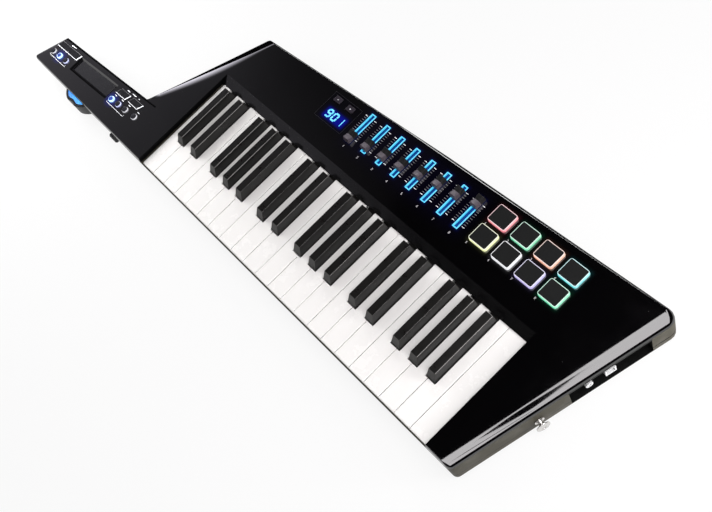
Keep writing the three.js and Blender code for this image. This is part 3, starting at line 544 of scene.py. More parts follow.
class Finish(Nodes):
    """A material with its shader and the Object coordinates ready."""

    def __init__(self, name, roughness=0.5, metallic=0.0, ior=1.5):
        self.material = bpy.data.materials.new(name)
        self.material.use_nodes = True
        super().__init__(self.material.node_tree)
        self.shader = self.tree.nodes["Principled BSDF"]
        self.place = self.add("TexCoord")["Object"]
        self.relief = self.light = None
        self.set(Roughness=roughness, Metallic=metallic, IOR=ior)

    def set(self, **values):
        for name, value in values.items():
            self.connect(value, self.shader.inputs[name.replace("_", " ")])

    def use(self, shared, **values):
        return self.add("Group", {"node_tree": shared}, Place=self.place, **values)

    def axis(self, letter):
        return self.add("SeparateXYZ", Vector=self.place)[letter]

    def inside(self, **ranges):
        """One inside a box of ranges in millimetres, zero outside."""
        shares = []
        for letter, (low, high) in ranges.items():
            index = "XYZ".index(letter)
            shares.append(self.within(self.axis(letter), at(low, low, low)[index], at(high, high, high)[index]))
        mask = shares.pop()
        while shares:
            mask = self.maths("MULTIPLY", shares.pop(), mask)
        return mask

    def bump(self, height, depth, strength):
        """Raises a relief, on top of the one that is there."""
        under = {} if self.relief is None else {"Normal": self.relief}
        self.relief = self.add("Bump", Height=height, Distance=depth, Strength=strength, **under)[0]
        self.set(Normal=self.relief)

    def moulded(self, dark, light, size, mottle, depth=0.0, strength=0.0):
        """Mottles the colour between two tones, and raises the grain."""
        grain = self.use(GRAIN, Size=size, Mottle_size=mottle)
        self.mottle = grain["Mottle"]
        self.colour = self.varied(self.mottle, dark, light)
        self.set(Base_Color=self.colour)
        if depth:
            self.bump(grain["Height"], depth, strength)
        return self

    def handled(self, roughness, patch, amount, wear="SUBTRACT"):
        """Polishes the places that hands touch, or dulls them with ADD."""
        hands = self.use(HANDLING, Patch_size=patch, Amount=amount)
        self.set(Roughness=self.maths(wear, roughness, hands["Mask"]))
        return self

    def spill(self, centre, half, reach, power, colour, z=PANEL):
        """Adds light that fades away from a rectangle."""
        glow = self.use(HALO, Centre=at(*centre, z), Half_size=Vector((*half, 0)) * MM, Reach=reach * MM, Power=power)
        lit_part = self.mix(glow["Glow"], BLACK, rgb(*colour))
        self.light = lit_part if self.light is None else self.mix(1.0, self.light, lit_part, "ADD")
        self.set(Emission_Color=self.light, Emission_Strength=1.0)


# ---------------------------------------------------------------- finishes
PAD_COLOURS = {
    (0, 1): (0.95, 0.18, 0.23), (1, 1): (0.09, 0.74, 0.38), (2, 1): (0.98, 0.42, 0.24), (3, 1): (0.05, 0.74, 0.78),
    (0, 0): (0.88, 0.92, 0.4), (1, 0): (0.82, 0.83, 0.88), (2, 0): (0.52, 0.44, 0.92), (3, 0): (0.08, 0.8, 0.42),
}


def cheek_crown(f):
    """The height of the left cheek near its edge, where the panel rolls gently down to the shoulder."""
    run = Vector((*CHEEK_REAR, 0)) - Vector((*CHEEK_ROOT, 0))
    length = run.length * MM
    run.normalize()
    from_root = f.vector("SUBTRACT", f.place, at(*CHEEK_ROOT, 0))
    share = f.maths("DIVIDE", f.vector("DOT_PRODUCT", from_root, run, "Value"), length)
    inward = f.vector("DOT_PRODUCT", from_root, (run.y, -run.x, 0.0), "Value")
    shoulder = f.maths("MULTIPLY_ADD", share, SHOULDER_GAIN * MM, SHOULDER_ROOT * MM)
    hump = f.maths("MULTIPLY", share, f.maths("SUBTRACT", 1.0, share))
    width = f.maths("MULTIPLY_ADD", f.maths("MAXIMUM", hump, 0.0), ROLL_GAIN * MM, ROLL_ENDS * MM)
    started = f.maths("MULTIPLY", share, 10.0, clamp=True)
    past = f.maths("SUBTRACT", f.maths("ADD", width, shoulder), inward)
    reach = f.maths("MULTIPLY", f.maths("MAXIMUM", past, 0.0), started)
    rolled = f.maths("MINIMUM", reach, width)
    bowl = f.maths("DIVIDE", f.maths("MULTIPLY", rolled, rolled), f.maths("MULTIPLY", width, 2.0))
    fall = f.maths("ADD", bowl, f.maths("SUBTRACT", reach, rolled))
    return f.maths("MULTIPLY", fall, -CHEEK_TILT)


def panel_spills():
    """The lamps that light the panel round them: centre, half size, reach, power and colour."""
    yield ((FADER_X[0] + FADER_X[-1]) / 2, 202), (92, 22), 22, 2.2, (0.0005, 0.0002, 0.0035)
    for x in FADER_X:
        yield (x, FADER_MIDDLE), (3.9, 21.3), 5, 2.4, (0.0003, 0.003, 0.035)
    yield ((READOUT[0] + READOUT[2]) / 2, READOUT[1] + 8), (17, 7), 9, 2.6, (0.0002, 0.0006, 0.02)
    lit_button = (1, 0.5), 13.0, 1.5, (0.001, 0.014, 0.30)
    yield HEAD_BUTTONS[1], *lit_button
    yield HEAD_BUTTONS[2], (1, 0.5), 8, 2.0, (0.002, 0.004, 0.05)
    yield NECK_BUTTONS[0], *lit_button
    yield NECK_BUTTONS[1], (1, 0.5), 8, 2.0, (0.001, 0.006, 0.12)
    for (column, row), colour in PAD_COLOURS.items():
        yield (PAD_X[column], PAD_Y[row]), (12, 10.6), 7, 2.6, tuple(c * 0.025 for c in colour)


def gloss_shell():
    """Polished black casing with the blue and coloured light that its lamps spill on it."""
    f = Finish("gloss_black_casing", ior=2.0)
    f.moulded((0.0007, 0.0006, 0.0008), (0.0014, 0.0013, 0.0016), 0.004, 0.06, 0.000012, 0.35)
    f.bump(cheek_crown(f), 1.0, 1.0)
    hands = f.use(HANDLING, Patch_size=0.05, Amount=0.07)["Mask"]
    dust = f.use(DUST, Speck_size=0.005)["Mask"]
    slope = f.inside(X=(WELL_LEFT, WELL_RIGHT), Y=(SLOPE_FRONT, SLOPE_REAR), Z=(KEY_TOP, PANEL - 0.1))
    rough = f.maths("ADD", 0.055, f.maths("MULTIPLY_ADD", dust, 0.2, hands))
    f.set(Roughness=f.maths("MULTIPLY_ADD", slope, 0.15, rough))
    for spill in panel_spills():
        f.spill(*spill)
    return f.material


def recess_mask(f):
    """One inside the connector recess of the right end and on the wall above it, where near-black is painted as
    shade.
    """
    c, s = math.cos(END_ANGLE), math.sin(END_ANGLE)
    from_corner = f.vector("SUBTRACT", f.place, at(*END_FRONT, 0))
    along = f.vector("DOT_PRODUCT", from_corner, (c, s, 0.0), "Value")
    out = f.vector("DOT_PRODUCT", from_corner, (s, -c, 0.0), "Value")
    in_run = f.within(along, (RECESS_START - 0.3) * MM, (RECESS_START + RECESS_LENGTH + 0.3) * MM)
    in_depth = f.within(out, -(RECESS_DEPTH + 0.4) * MM, -0.35 * MM)
    cavity = f.maths("MULTIPLY", in_depth, f.inside(Z=(RECESS_LOW, RECESS_TOP + 0.2)))
    lintel = f.inside(Z=(RECESS_TOP - 0.2, RECESS_TOP + LINTEL))
    return f.maths("MULTIPLY", in_run, f.maths("MAXIMUM", cavity, lintel))


def olive_shell():
    """Olive-grey casing with near-black painted shade in its connector recess and on the wall above it, and the
    shadow in its seam painted dark.
    """
    f = Finish("olive_grey_casing", ior=1.25)
    f.moulded((0.049, 0.044, 0.032), (0.066, 0.060, 0.045), 0.0005, 0.03, 0.00006, 0.5).handled(0.52, 0.03, 0.25)
    # Painted shade: near-black in the connector recess, on the wall above it and in the seam.
    dark = f.maths("MAXIMUM", recess_mask(f), f.inside(Z=(SEAM_Z - SEAM_HALF, SEAM_Z + SEAM_HALF)))
    f.set(Base_Color=f.mix(dark, f.colour, rgb(*grey(0.0025))))
    return f.material


def ivory():
    f = Finish("white_key_plastic")
    f.moulded((0.700, 0.690, 0.677), (0.726, 0.717, 0.705), 0.0012, 0.045, 0.00001, 0.3)
    f.handled(0.2, 0.022, 0.2, "ADD").set(Coat_Weight=0.25, Coat_Roughness=0.08)
    return f.material


def ebony():
    f = Finish("black_key_plastic", ior=1.4)
    f.moulded((0.0038, 0.0034, 0.0032), (0.0062, 0.0058, 0.0054), 0.0007, 0.02, 0.00005, 0.55)
    return f.handled(0.36, 0.015, 0.18).material


def satin(name, dark, light, roughness=0.5, size=0.0006, depth=0.00004, ior=1.5):
    f = Finish(name, ior=ior).moulded(dark, light, size, 0.012, depth, 0.6)
    return f.handled(roughness, 0.012, 0.12).material


def metal(name, colour, roughness, metallic):
    darker = tuple(c * 0.82 for c in colour)
    f = Finish(name, metallic=metallic).moulded(darker, colour, 0.0009, 0.004, 0.00001, 0.3)
    return f.handled(roughness, 0.006, 0.2, "ADD").material


def lit(name, colour, bright, strength, base, cloud, pale_from=None):
    """A translucent lit moulding: its light is uneven, as a lamp behind it leaves it, and can pale upwards."""
    f = Finish(name, 0.35).moulded(tuple(c * 0.85 for c in base), base, 0.0008, cloud, 0.00002, 0.4)
    glow = f.varied(f.share_between(f.mottle, 0.35, 0.65), colour, bright)
    if pale_from is not None:
        pale = f.share_between(f.axis("Z"), pale_from * MM, (pale_from + 1.6) * MM, 0.5)
        glow = f.mix(pale, glow, rgb(0.85, 0.85, 0.87))
    f.set(Emission_Color=glow, Emission_Strength=strength)
    return f.material


def board():
    """Green solder mask with the blue lamps that shine up through the fader slots."""
    f = Finish("board_green", 0.4)
    f.moulded((0.008, 0.045, 0.022), (0.014, 0.075, 0.035), 0.0007, 0.006, 0.00003, 0.4)
    for x in FADER_X:
        f.spill((x, FADER_MIDDLE), (2.2, 20.5), 1, 1.0, (0.0, 0.022, 0.26), 36)
    return f.material


def smoked():
    """Smoked window, with the deep blue glow of the readout in it."""
    f = Finish("smoked_window", ior=1.7)
    f.moulded((0.0010, 0.0008, 0.0016), (0.0018, 0.0015, 0.0028), 0.003, 0.02).handled(0.08, 0.02, 0.1, "ADD")
    centre = ((READOUT[0] + READOUT[2]) / 2, (READOUT[1] + READOUT[3]) / 2)
    f.spill(centre, (16, 5), 9, 2.0, (0.0, 0.0006, 0.03))
    f.spill(centre, (14.5, 4.6), 4.8, 1.3, (0.0, 0.003, 0.21))
    return f.material


def ink(name, worn, full, glow):
    """Printed ink with a faint painted glow, so that it stands out a little in the dark."""
    f = Finish(name).moulded(worn, full, 0.0004, 0.003, 0.00001, 0.3)
    f.set(Emission_Color=rgb(0.75, 0.78, 0.85), Emission_Strength=glow)
    return f.material


def pad_lamp(column, row):
    colour = PAD_COLOURS[(column, row)]
    dim, bright = tuple(0.78 * c for c in colour), tuple(min(1.0, 0.12 + 0.9 * c) for c in colour)
    return lit(f"pad_light_{column + 1}_{row + 1}", dim, bright, 1.0, grey(0.2), 0.009, pale_from=42.6)


GLOSS = gloss_shell()
OLIVE = olive_shell()
IVORY = ivory()
EBONY = ebony()
# A lighter grey painted on the black keys' rounded top edges as a painted highlight.
EBONY_PAINTED_HIGHLIGHT = satin("black_key_painted_highlight", (0.16, 0.155, 0.15), (0.24, 0.235, 0.23), 0.3)
FRAME_GREY = satin("keybed_plastic", (0.06, 0.063, 0.07), (0.09, 0.095, 0.105), 0.55)
BOARD = board()
SMOKED = smoked()
RUBBER = satin("key_rubber", (0.018, 0.018, 0.021), (0.028, 0.028, 0.032), 0.62, 0.0005, 0.00005)
BUTTON_TOP = satin("button_top", (0.006, 0.006, 0.009), (0.012, 0.012, 0.017), 0.35, 0.0009, 0.00002)
DISPLAY_BUTTON = satin("display_button", (0.012, 0.0085, 0.014), (0.018, 0.0135, 0.021), 0.4, 0.0006, 0.00003)
PAD_TOP = satin("pad_face_rubber", (0.0046, 0.0048, 0.0049), (0.0066, 0.0069, 0.0070), 0.6, 0.0005, 0.00005, 1.25)
DARK = satin("dark_plastic", (0.008, 0.008, 0.009), (0.014, 0.014, 0.016), 0.42)
STRIP = satin("strip_film", (0.006, 0.006, 0.007), (0.01, 0.01, 0.011), 0.16, 0.002, 0.00001, 1.8)
# The caps' two greys are lit and shaded copies of one plastic: the rear half painted in shade, the front half that
# faces the light painted lighter.
CAP_PAINTED_SHADE = satin("cap_rear_half_painted_shade", (0.0052, 0.0050, 0.0056), (0.0085, 0.0082, 0.0092), ior=1.35)
CAP_PAINTED_LIGHT = satin("cap_front_half_painted_light", (0.050, 0.040, 0.052), (0.070, 0.057, 0.072), 0.38)
FIELD = satin("printed_field", (0.0055, 0.0055, 0.0068), (0.0085, 0.0085, 0.0105), ior=1.35)
BORDER = satin("window_border", (0.007, 0.007, 0.009), (0.012, 0.012, 0.015), 0.4)
# A matt black that paints shade: on the key well's side walls, the strip recess's ramps and bands, and the groove
# along the neck's rear edge.
PAINTED_SHADE_BLACK = satin("matt_black_painted_shade", (0.0006, 0.0006, 0.0008), (0.0012, 0.0012, 0.0015), 0.6, ior=1.15)
CHROME = metal("polished_chrome", (0.78, 0.76, 0.74), 0.12, 0.9)
SILVER = metal("plated_socket", (0.80, 0.80, 0.81), 0.3, 0.35)
# The prints glow faintly: a painted glow, not a lamp.
PRINT_WHITE = ink("white_print", (0.72, 0.73, 0.76), (0.88, 0.89, 0.92), 0.12)
TICK_GREY = ink("tick_print", (0.17, 0.165, 0.175), (0.24, 0.23, 0.245), 0.03)
PRINT_GREY = ink("grey_print", (0.3, 0.29, 0.3), (0.4, 0.38, 0.4), 0.05)
CYAN_FRAME = lit("cyan_light_frame", (0.02, 0.50, 0.80), (0.08, 0.70, 0.96), 1.0, (0.1, 0.2, 0.3), 0.008)
LINING = lit("slot_lining_lit", (0.015, 0.42, 0.75), (0.06, 0.62, 0.92), 1.0, (0.01, 0.02, 0.1), 0.006)
DIGIT = lit("readout_digit", (0.03, 0.50, 0.98), (0.16, 0.80, 1.0), 1.1, (0.1, 0.2, 0.3), 0.003)
# The unlit buttons' white skirts are given a painted glow, which brightens their white sides though no lamp lights
# them.
SKIRT_PAINTED_GLOW = lit("button_skirt", (0.30, 0.30, 0.34), (0.42, 0.42, 0.47), 0.6, (0.75, 0.75, 0.78), 0.004)
SKIRT_LIT = lit("button_skirt_lit", (0.10, 0.48, 1.0), (0.60, 0.85, 1.0), 1.3, (0.7, 0.8, 0.9), 0.004)
SKIRT_BLUE = lit("button_skirt_blue", (0.2, 0.25, 0.6), (0.35, 0.4, 0.75), 0.8, (0.7, 0.72, 0.8), 0.004)
TOP_LIT = lit("button_top_lit", (0.0, 0.03, 0.45), (0.01, 0.08, 0.7), 0.6, (0.02, 0.03, 0.08), 0.003)
CROWN = lit("wheel_crown_lit", (0.0, 0.13, 0.6), (0.03, 0.4, 1.0), 1.0, (0.05, 0.15, 0.3), 0.007)
PAD_LIT = {place: pad_lamp(*place) for place in PAD_COLOURS}

# ---------------------------------------------------------------- camera, light and floor
PHOTO_WIDTH, PHOTO_HEIGHT = 712, 512
FOCAL_PIXELS, LENS_CENTRE = 1010.11, (328.98, 277.43)
SENSOR = 36

camera = bpy.data.objects.new("camera", bpy.data.cameras.new("camera"))
bpy.context.scene.collection.objects.link(camera)
camera.location = (0.61428, -0.08706, 0.95452)
camera.rotation_euler = Euler([math.radians(a) for a in (25.8925, 19.1002, 48.8468)])
camera.data.sensor_width = SENSOR
camera.data.lens = FOCAL_PIXELS / PHOTO_WIDTH * SENSOR
camera.data.shift_x = (PHOTO_WIDTH / 2 - LENS_CENTRE[0]) / PHOTO_WIDTH
camera.data.shift_y = (LENS_CENTRE[1] - PHOTO_HEIGHT / 2) / PHOTO_WIDTH
camera.data.clip_end = 30
bpy.context.scene.camera = camera
bpy.context.scene.view_settings.view_transform = "Standard"

VIOLET = (0.93, 0.90, 1.0)


def card(name, place, target, width, height, radiance, colour=(1, 1, 1), shine=True):
    """A softbox or reflecting card, by how bright its face looks. Gloss mirrors it if it has shine."""
    light = bpy.data.objects.new(name, bpy.data.lights.new(name, "AREA"))
    bpy.context.scene.collection.objects.link(light)
    light.data.shape = "RECTANGLE"
    light.data.size, light.data.size_y = width, height
    light.data.energy = radiance * math.pi * width * height
    light.data.color = colour
    light.location = place
    light.rotation_euler = (Vector(target) - Vector(place)).to_track_quat("-Z", "Y").to_euler()
    light.visible_camera = False
    light.visible_glossy = shine
    return light


overhead = card("overhead_softbox", (0.92, 0.16, 1.12), (0.92, 0.16, 0), 1.62, 1.0, 4.2, (1.0, 0.975, 0.99))
overhead.rotation_euler = (0, 0, math.radians(-12.7))
card("rear_strip_high", (-1.7, 2.2, 1.75), (-1.7, 0.0, 1.75), 2.2, 0.5, 8.0)
card("rear_strip_low", (-1.3, 2.2, 0.18), (-1.3, 0.0, 0.18), 2.2, 0.34, 2.6)
card("bevel_card", (-1.4, -0.9, 1.12), (-0.1, 0.08, 0.03), 1.15, 0.4, 0.25, VIOLET)
card("strip_card", (-2.0, -1.48, 0.56), (-0.42, -0.03, 0.04), 0.6, 0.3, 0.75)
card("front_card", (-0.6, -2.0, 1.1), (0.2, 0.0, 0.03), 1.0, 0.5, 2.0)
card("left_key_fill", (-0.68, -0.1, 0.36), (-0.28, -0.02, 0.03), 0.4, 0.4, 6.5, shine=False)
card("end_fill", (0.95, 0.62, 0.3), (0.36, 0.16, 0.02), 0.3, 0.3, 13.0, (1.0, 0.99, 0.97), shine=False)
card("corner_fill", (0.56, 0.25, 0.16), (0.355, 0.17, 0.015), 0.12, 0.12, 15.0, shine=False)

world = bpy.data.worlds.new("studio")
world.use_nodes = True
background = world.node_tree.nodes["Background"]
background.inputs["Color"].default_value = rgb(1.0, 0.995, 0.985)
background.inputs["Strength"].default_value = 0.31
world.cycles_visibility.glossy = False
bpy.context.scene.world = world

# How bright the graded cards on the left look, by their height and by their place from front to rear
CARD_X, FLAG_HEIGHT = -2.0, 1.1
GRADED_CARDS = {
    "neck_card": (
        [(0.95, 0.0), (1.05, 0.9), (1.15, 0.5), (1.24, 0.34), (1.42, 0.26), (1.63, 0.19), (1.8, 0.15), (2.2, 0.1)],
        [(-0.5, 1.0), (0.13, 1.0)],
    ),
    "crown_card": (
        [(0.84, 0.0), (0.87, 8.0), (1.02, 6.6), (1.2, 3.9), (1.38, 1.9), (1.5, 0.8), (1.62, 0.27)],
        [(0.13, 0.25), (0.3, 0.4), (0.37, 0.8), (0.44, 1.0), (0.51, 0.8), (0.6, 0.35), (1.5, 0.2)],
    ),
    "panel_card": (
        [(1.62, 0.22), (1.7, 0.17), (1.85, 0.13), (2.07, 0.078), (2.48, 0.062), (3.3, 0.024)],
        [(0.13, 1.0), (0.42, 1.0), (0.75, 0.35), (1.5, 0.3)],
    ),
}


def toned(f, value, tones, colour=(1, 1, 1)):
    """A colour that follows a value through pairs of place and brightness."""
    low, high = tones[0][0], tones[-1][0]
    ramp = f.add("ValToRGB", Fac=f.share_between(value, low, high))
    stops = ramp["Color"].node.color_ramp.elements
    for place, tone in tones:
        position = (place - low) / (high - low)
        stop = stops[0] if position == 0 else stops[-1] if position == 1 else stops.new(position)
        stop.color = rgb(*(c * tone for c in colour))
    return ramp["Color"]


def sheet(name, low, high, z):
    """A level sheet between two corners."""
    clear()
    middle = ((low[0] + high[0]) / 2, (low[1] + high[1]) / 2, z)
    bpy.ops.mesh.primitive_plane_add(size=1, location=middle)
    bpy.context.object.scale = (high[0] - low[0], high[1] - low[1], 1)
    return settle(bpy.context.object, name)


def stand_in_reflections(screen, finish):
    """Stages a sheet that only mirrors see."""
    finish_with(screen, finish.material)
    screen.visible_camera = screen.visible_diffuse = screen.visible_shadow = False


def graded_card(name, heights, places):
    """A white card on the left, whose brightness follows its height and its place from front to rear."""
    low, high, front, rear = heights[0][0], heights[-1][0], places[0][0], places[-1][0]
    clear()
    bpy.ops.mesh.primitive_plane_add(size=1)
    screen = bpy.context.object
    screen.scale = (high - low, rear - front, 1)
    screen.rotation_euler = (0, math.radians(90), 0)
    screen.location = (CARD_X, (front + rear) / 2, (low + high) / 2)
    settle(screen, name)
    f = Finish(f"{name}_light", 1.0)
    by_height, by_place = toned(f, f.axis("Z"), heights, VIOLET), toned(f, f.axis("Y"), places)
    f.set(Base_Color=BLACK, Emission_Color=f.mix(1.0, by_height, by_place, "MULTIPLY"), Emission_Strength=1.0)
    stand_in_reflections(screen, f)


def black_flag(name, corners):
    """A black sheet under the softbox, whose mirror image leaves a dark streak in the light on the right shoulder."""
    flag = sheet(name, (-0.11, -0.5), (0.89, 0.5), FLAG_HEIGHT)
    points = [flag.data.vertices[i] for i in flag.data.polygons[0].vertices]
    for point, (x, y) in zip(points, corners):
        point.co = (x, y, FLAG_HEIGHT)
    f = Finish(f"{name}_cloth", 1.0)
    f.set(Base_Color=BLACK, Specular_IOR_Level=0.0)
    stand_in_reflections(flag, f)


def mirrored_floor(name, low, high):
    """Part of the pale floor as the gloss sees it: in front of the instrument and beyond its right end."""
    floor_part = sheet(name, low, high, -0.0006)
    f = Finish(f"{name}_paper", 1.0)
    grain = f.use(GRAIN, Size=0.004, Mottle_size=0.8)
    glow = f.varied(grain["Mottle"], grey(0.86), grey(0.92))
    f.set(Base_Color=BLACK, Emission_Color=glow, Emission_Strength=1.0)
    stand_in_reflections(floor_part, f)


for name, (heights, places) in GRADED_CARDS.items():
    graded_card(name, heights, places)
black_flag("wide_flag", [(0.42, -0.08), (0.84, -0.04), (0.42, 0.17), (0.24, 0.06)])
black_flag("thin_flag", [(0.80, -0.21), (1.22, -0.10), (1.24, -0.14), (0.84, -0.25)])
mirrored_floor("floor_in_front", (-7, -7), (7, -0.02))
mirrored_floor("floor_at_the_right", (0.3, -0.02), (7, 7))

clear()
bpy.ops.mesh.primitive_plane_add(size=14, location=(0, 0, -0.0004))
floor = bpy.context.object
floor.name = "floor"
paper = Finish("pale_floor", 0.9).moulded(grey(0.08), grey(0.085), 0.004, 0.8)
paper.set(Emission_Color=rgb(1.0, 1.0, 1.0), Emission_Strength=0.845)
finish_with(floor, paper.material)
floor.visible_glossy = False


# ---------------------------------------------------------------- casing
def round_strip(p):
    """Inside the plan of the touch strip's recess."""
    return STRIP_LEFT < p[0] < STRIP_RIGHT and STRIP_FRONT < p[1] < STRIP_REAR


def crisp_edges(p, way):
    """The rim of the key well and the edges of the touch strip's recess."""
    rim = abs(p[1] - WELL_REAR) < 0.3 and abs(p[2] - PANEL) < 0.1 and abs(way.x) > 0.99
    return rim or (round_strip(p) and p[2] > 37.6)


def well_side(p, normal):
    in_well = WELL_LEFT < p[0] < WELL_RIGHT and p[1] < WELL_REAR and p[2] < PANEL - 0.2
    return in_well and abs(normal.x) > 0.9


def dark_ramp(p, normal):
    """The ramps at the head end and the front of the touch strip's recess, painted matt black as shade."""
    return 0.5 < normal.z < 0.95 and (normal.x > 0.4 or normal.y > 0.4) and round_strip(p)


shell = dressed(
    "top_shell", "panel_shell", [GLOSS, PAINTED_SHADE_BLACK], "casing", "gloss_black", 0.3, smooth_angle=32, crisp=crisp_edges
)
# The key well's side walls and the touch strip recess's ramps take the matt black of painted shade.
for face in shell.data.polygons:
    if well_side(mm(face.center), face.normal) or dark_ramp(mm(face.center), face.normal):
        face.material_index = 1
dressed("bottom_shell", "lower_shell", OLIVE, "casing", "olive_grey", 0.25, smooth_angle=32)
dressed("battery_door", "battery_cover", DARK, "casing", "dark_plastic", 0.2)
for name, finish in (
    ("keybed_frame", FRAME_GREY), ("circuit_board", BOARD), ("pad_sheet", RUBBER),
    ("head_keypad", RUBBER), ("neck_keypad", RUBBER), ("connector_board", SILVER),
):
    finish_with(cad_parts[name], finish)

# ---------------------------------------------------------------- keys
for number in range(1, WHITE_COUNT + 1):
    name = f"white_key_{number:02d}"
    dressed(name, f"ivory_{number:02d}", IVORY, name, "ivory", 0.45, 3)


def pale_edge(p, normal):
    """The rounded edges on a black key's top that face the light from the right and the rear, where a lighter grey is
    painted as a highlight.
    """
    return max(normal.x, normal.y) > 0.25 and 0.25 < normal.z < 0.97 and p[2] > PANEL


for number in range(1, BLACK_COUNT + 1):
    name = f"black_key_{number:02d}"
    key = dressed(name, f"ebony_{number:02d}", [EBONY, EBONY_PAINTED_HIGHLIGHT], name, "ebony", 0.38, angle=20)
    # The edge faces turned to the light take the painted highlight.
    for face in key.data.polygons:
        if pale_edge(mm(face.center), face.normal):
            face.material_index = 1


# ---------------------------------------------------------------- faders
def cap_drop(line):
    """How far the cap's top lies below its height: a shallow saddle with steep ends."""
    off = abs(line)
    if off > SADDLE_HALF:
        return END_SLOPE * (off - SADDLE_HALF)
    return SADDLE_EDGE + SADDLE_DIP * (1 - off / SADDLE_HALF)


def fader_cap():
    """A saddle-shaped cap: a block cut across, its middle pushed down, its faces ribbed."""
    x, y = FADER_X[0], CAP_FIRST_Y
    half_x, half_y, high = CAP_SIZE[0] / 2, CAP_SIZE[1] / 2, CAP_LOW + CAP_SIZE[2]
    piece = block("fader_cap", *round_about(x, y, (half_x, half_y), CAP_LOW, high))
    edit(piece)
    lines = [-half_y + 2 * half_y * i / CAP_STEPS for i in range(1, CAP_STEPS)]
    for line_y in lines:
        all_points()
        bpy.ops.mesh.bisect(plane_co=at(x, y + line_y, 0), plane_no=(0, 1, 0))
    pick_by("VERT")
    for index, line_y in enumerate([-half_y] + lines + [half_y]):
        pick_none()
        pick_points(lambda p: p[2] > high - 0.01 and abs(p[1] - y - line_y) < 0.01)
        rib = RIB if index % 2 and abs(line_y) > 1 else 0.0
        move(0, 0, -cap_drop(line_y) - rib)
    pick_by("EDGE")
    pick_edges(lambda p, way: abs(abs(p[0] - x) - half_x) < 0.01 and p[2] > CAP_LOW + 1 and not upright(way))
    pick_edges(lambda p, way: upright(way) and abs(abs(p[1] - y) - half_y) < 0.01)
    bevel(0.55, 2)
    done()
    stem = block("fader_stem", *round_about(x, y, (1, 2.5), 31.6, CAP_LOW + 1))
    joined("fader_cap", [piece, stem])
    finish_with(piece, CAP_PAINTED_SHADE, CAP_PAINTED_LIGHT)
    # The front half of the top takes the lighter grey of painted light, the rest the painted shade.
    for face in piece.data.polygons:
        _, along, height = mm(face.center)
        if along < y - 0.05 and height > CAP_LOW + 1.5:
            face.material_index = 1
    return smooth(piece, 28, False)


def tick_rows(x):
    """Eleven printed ticks on each side of a slot, the end ones longer and bolder."""
    ends, others = [], []
    for row in range(11):
        y = 186.7 + 3.1 * row
        half, reach, marks = (0.28, 9.2, ends) if row in (0, 10) else (0.19, 8.9, others)
        for side in (-1, 1):
            inner, outer = sorted((x + side * 5.6, x + side * reach))
            marks.append(slab("tick", (inner, y - half, PANEL), (outer, y + half, PANEL + PRINT), 0.08, 0, 1))
    return joined("fader_end_ticks", ends), joined("fader_ticks", others)


def slot_lining(x):
    """The lit strips inside a slot's two long sides."""
    front, rear, low = SLOT_FRONT + 0.1, SLOT_REAR - 0.1, 39.3
    left = block("lining_side", (x - 2.5, front, low), (x - 1.55, rear, PANEL + 0.12))
    right = block("lining_side", (x + 1.85, front, low), (x + 2.05, rear, PANEL - 0.05))
    return joined("slot_lining", [left, right])


def frame_round_slot(x):
    half = FRAME_WIDTH / 2
    low, high = (x - half, FRAME_FRONT, PANEL - 0.3), (x + half, FRAME_REAR, PANEL + 0.3)
    return smooth(ring("light_frame", low, high, FRAME_BAND, 0.7, 0.15))


cap_shape = fader_cap()
light_frame = frame_round_slot(FADER_X[0])
end_ticks, ticks = tick_rows(FADER_X[0])
lining = slot_lining(FADER_X[0])
for index, x in enumerate(FADER_X):
    number = index + 1
    body = f"fader_cap_{number}"
    across = x - FADER_X[0]
    put(copied(cap_shape, f"cap_{number}", across, CAP_SHARES[index] * CAP_TRAVEL), None, body, "cap_grey", body)
    behind_glass(copied(light_frame, f"light_frame_{number}", across), CYAN_FRAME)
    printed(copied(end_ticks, f"fader_end_ticks_{number}", across), PRINT_WHITE)
    printed(copied(ticks, f"fader_ticks_{number}", across), TICK_GREY)
    behind_glass(copied(lining, f"slot_lining_{number}", across), LINING)
    printed(lettering(f"fader_number_{number}", str(number), (x, 173.2, PANEL + PRINT / 2), 4.2), PRINT_GREY)
throw_away(cap_shape, light_frame, end_ticks, ticks, lining)


# ---------------------------------------------------------------- pads
def pad_light():
    """The lit moulding of a pad: sides that lean in to a thin rim round the face."""
    piece = block("pad_light", *round_about(PAD_X[0], PAD_Y[0], PAD_HALF, PAD_LOW, PAD_HIGH))
    edit(piece, "EDGE")
    pick_edges(is_upright)
    bevel(PAD_CORNER, 5)
    pick_by("FACE")
    pick_faces(faces_up)
    grow(*PAD_TOP_SHARES)
    inset(0.25, 0.2)
    inset(0.4)
    raise_faces(-0.6)
    done()
    return smooth(piece)


def pad_face():
    """The dark face of a pad, with a faint raised middle."""
    corners = round_about(PAD_X[0], PAD_Y[0], FACE_HALF, FACE_LOW, FACE_HIGH)
    piece = slab("pad_face", *corners, FACE_CORNER, 0.25, 5)
    edit(piece)
    pick_faces(lambda p, normal: normal.z > 0.99)
    inset(0.9, 0.08)
    done()
    return smooth(piece)


light_shape, face_shape = pad_light(), pad_face()
for row, y in enumerate(PAD_Y):
    for column, x in enumerate(PAD_X):
        number = column + 1 + (0 if row else 4)
        shift = (x - PAD_X[0], y - PAD_Y[0])
        put(copied(light_shape, f"pad_light_{number}", *shift), PAD_LIT[(column, row)], "pad_sheet", "rubber")
        put(copied(face_shape, f"pad_face_{number}", *shift), PAD_TOP, "pad_sheet", "rubber")
        place = (x - 11.1, y - 14.9, PANEL + PRINT / 2)
        printed(lettering(f"pad_number_{number}", str(number), place, 3.6), PRINT_GREY)
throw_away(light_shape, face_shape)

# ---------------------------------------------------------------- display
SEGMENTS = {"0": "abcdef", "9": "abcdfg"}
DIGIT_SIZE, DIGIT_GAP, BAR_HALF, BAR_END, DIGIT_LEAN = (6.0, 9.6), 0.55, 1.05, 0.2, 0.09


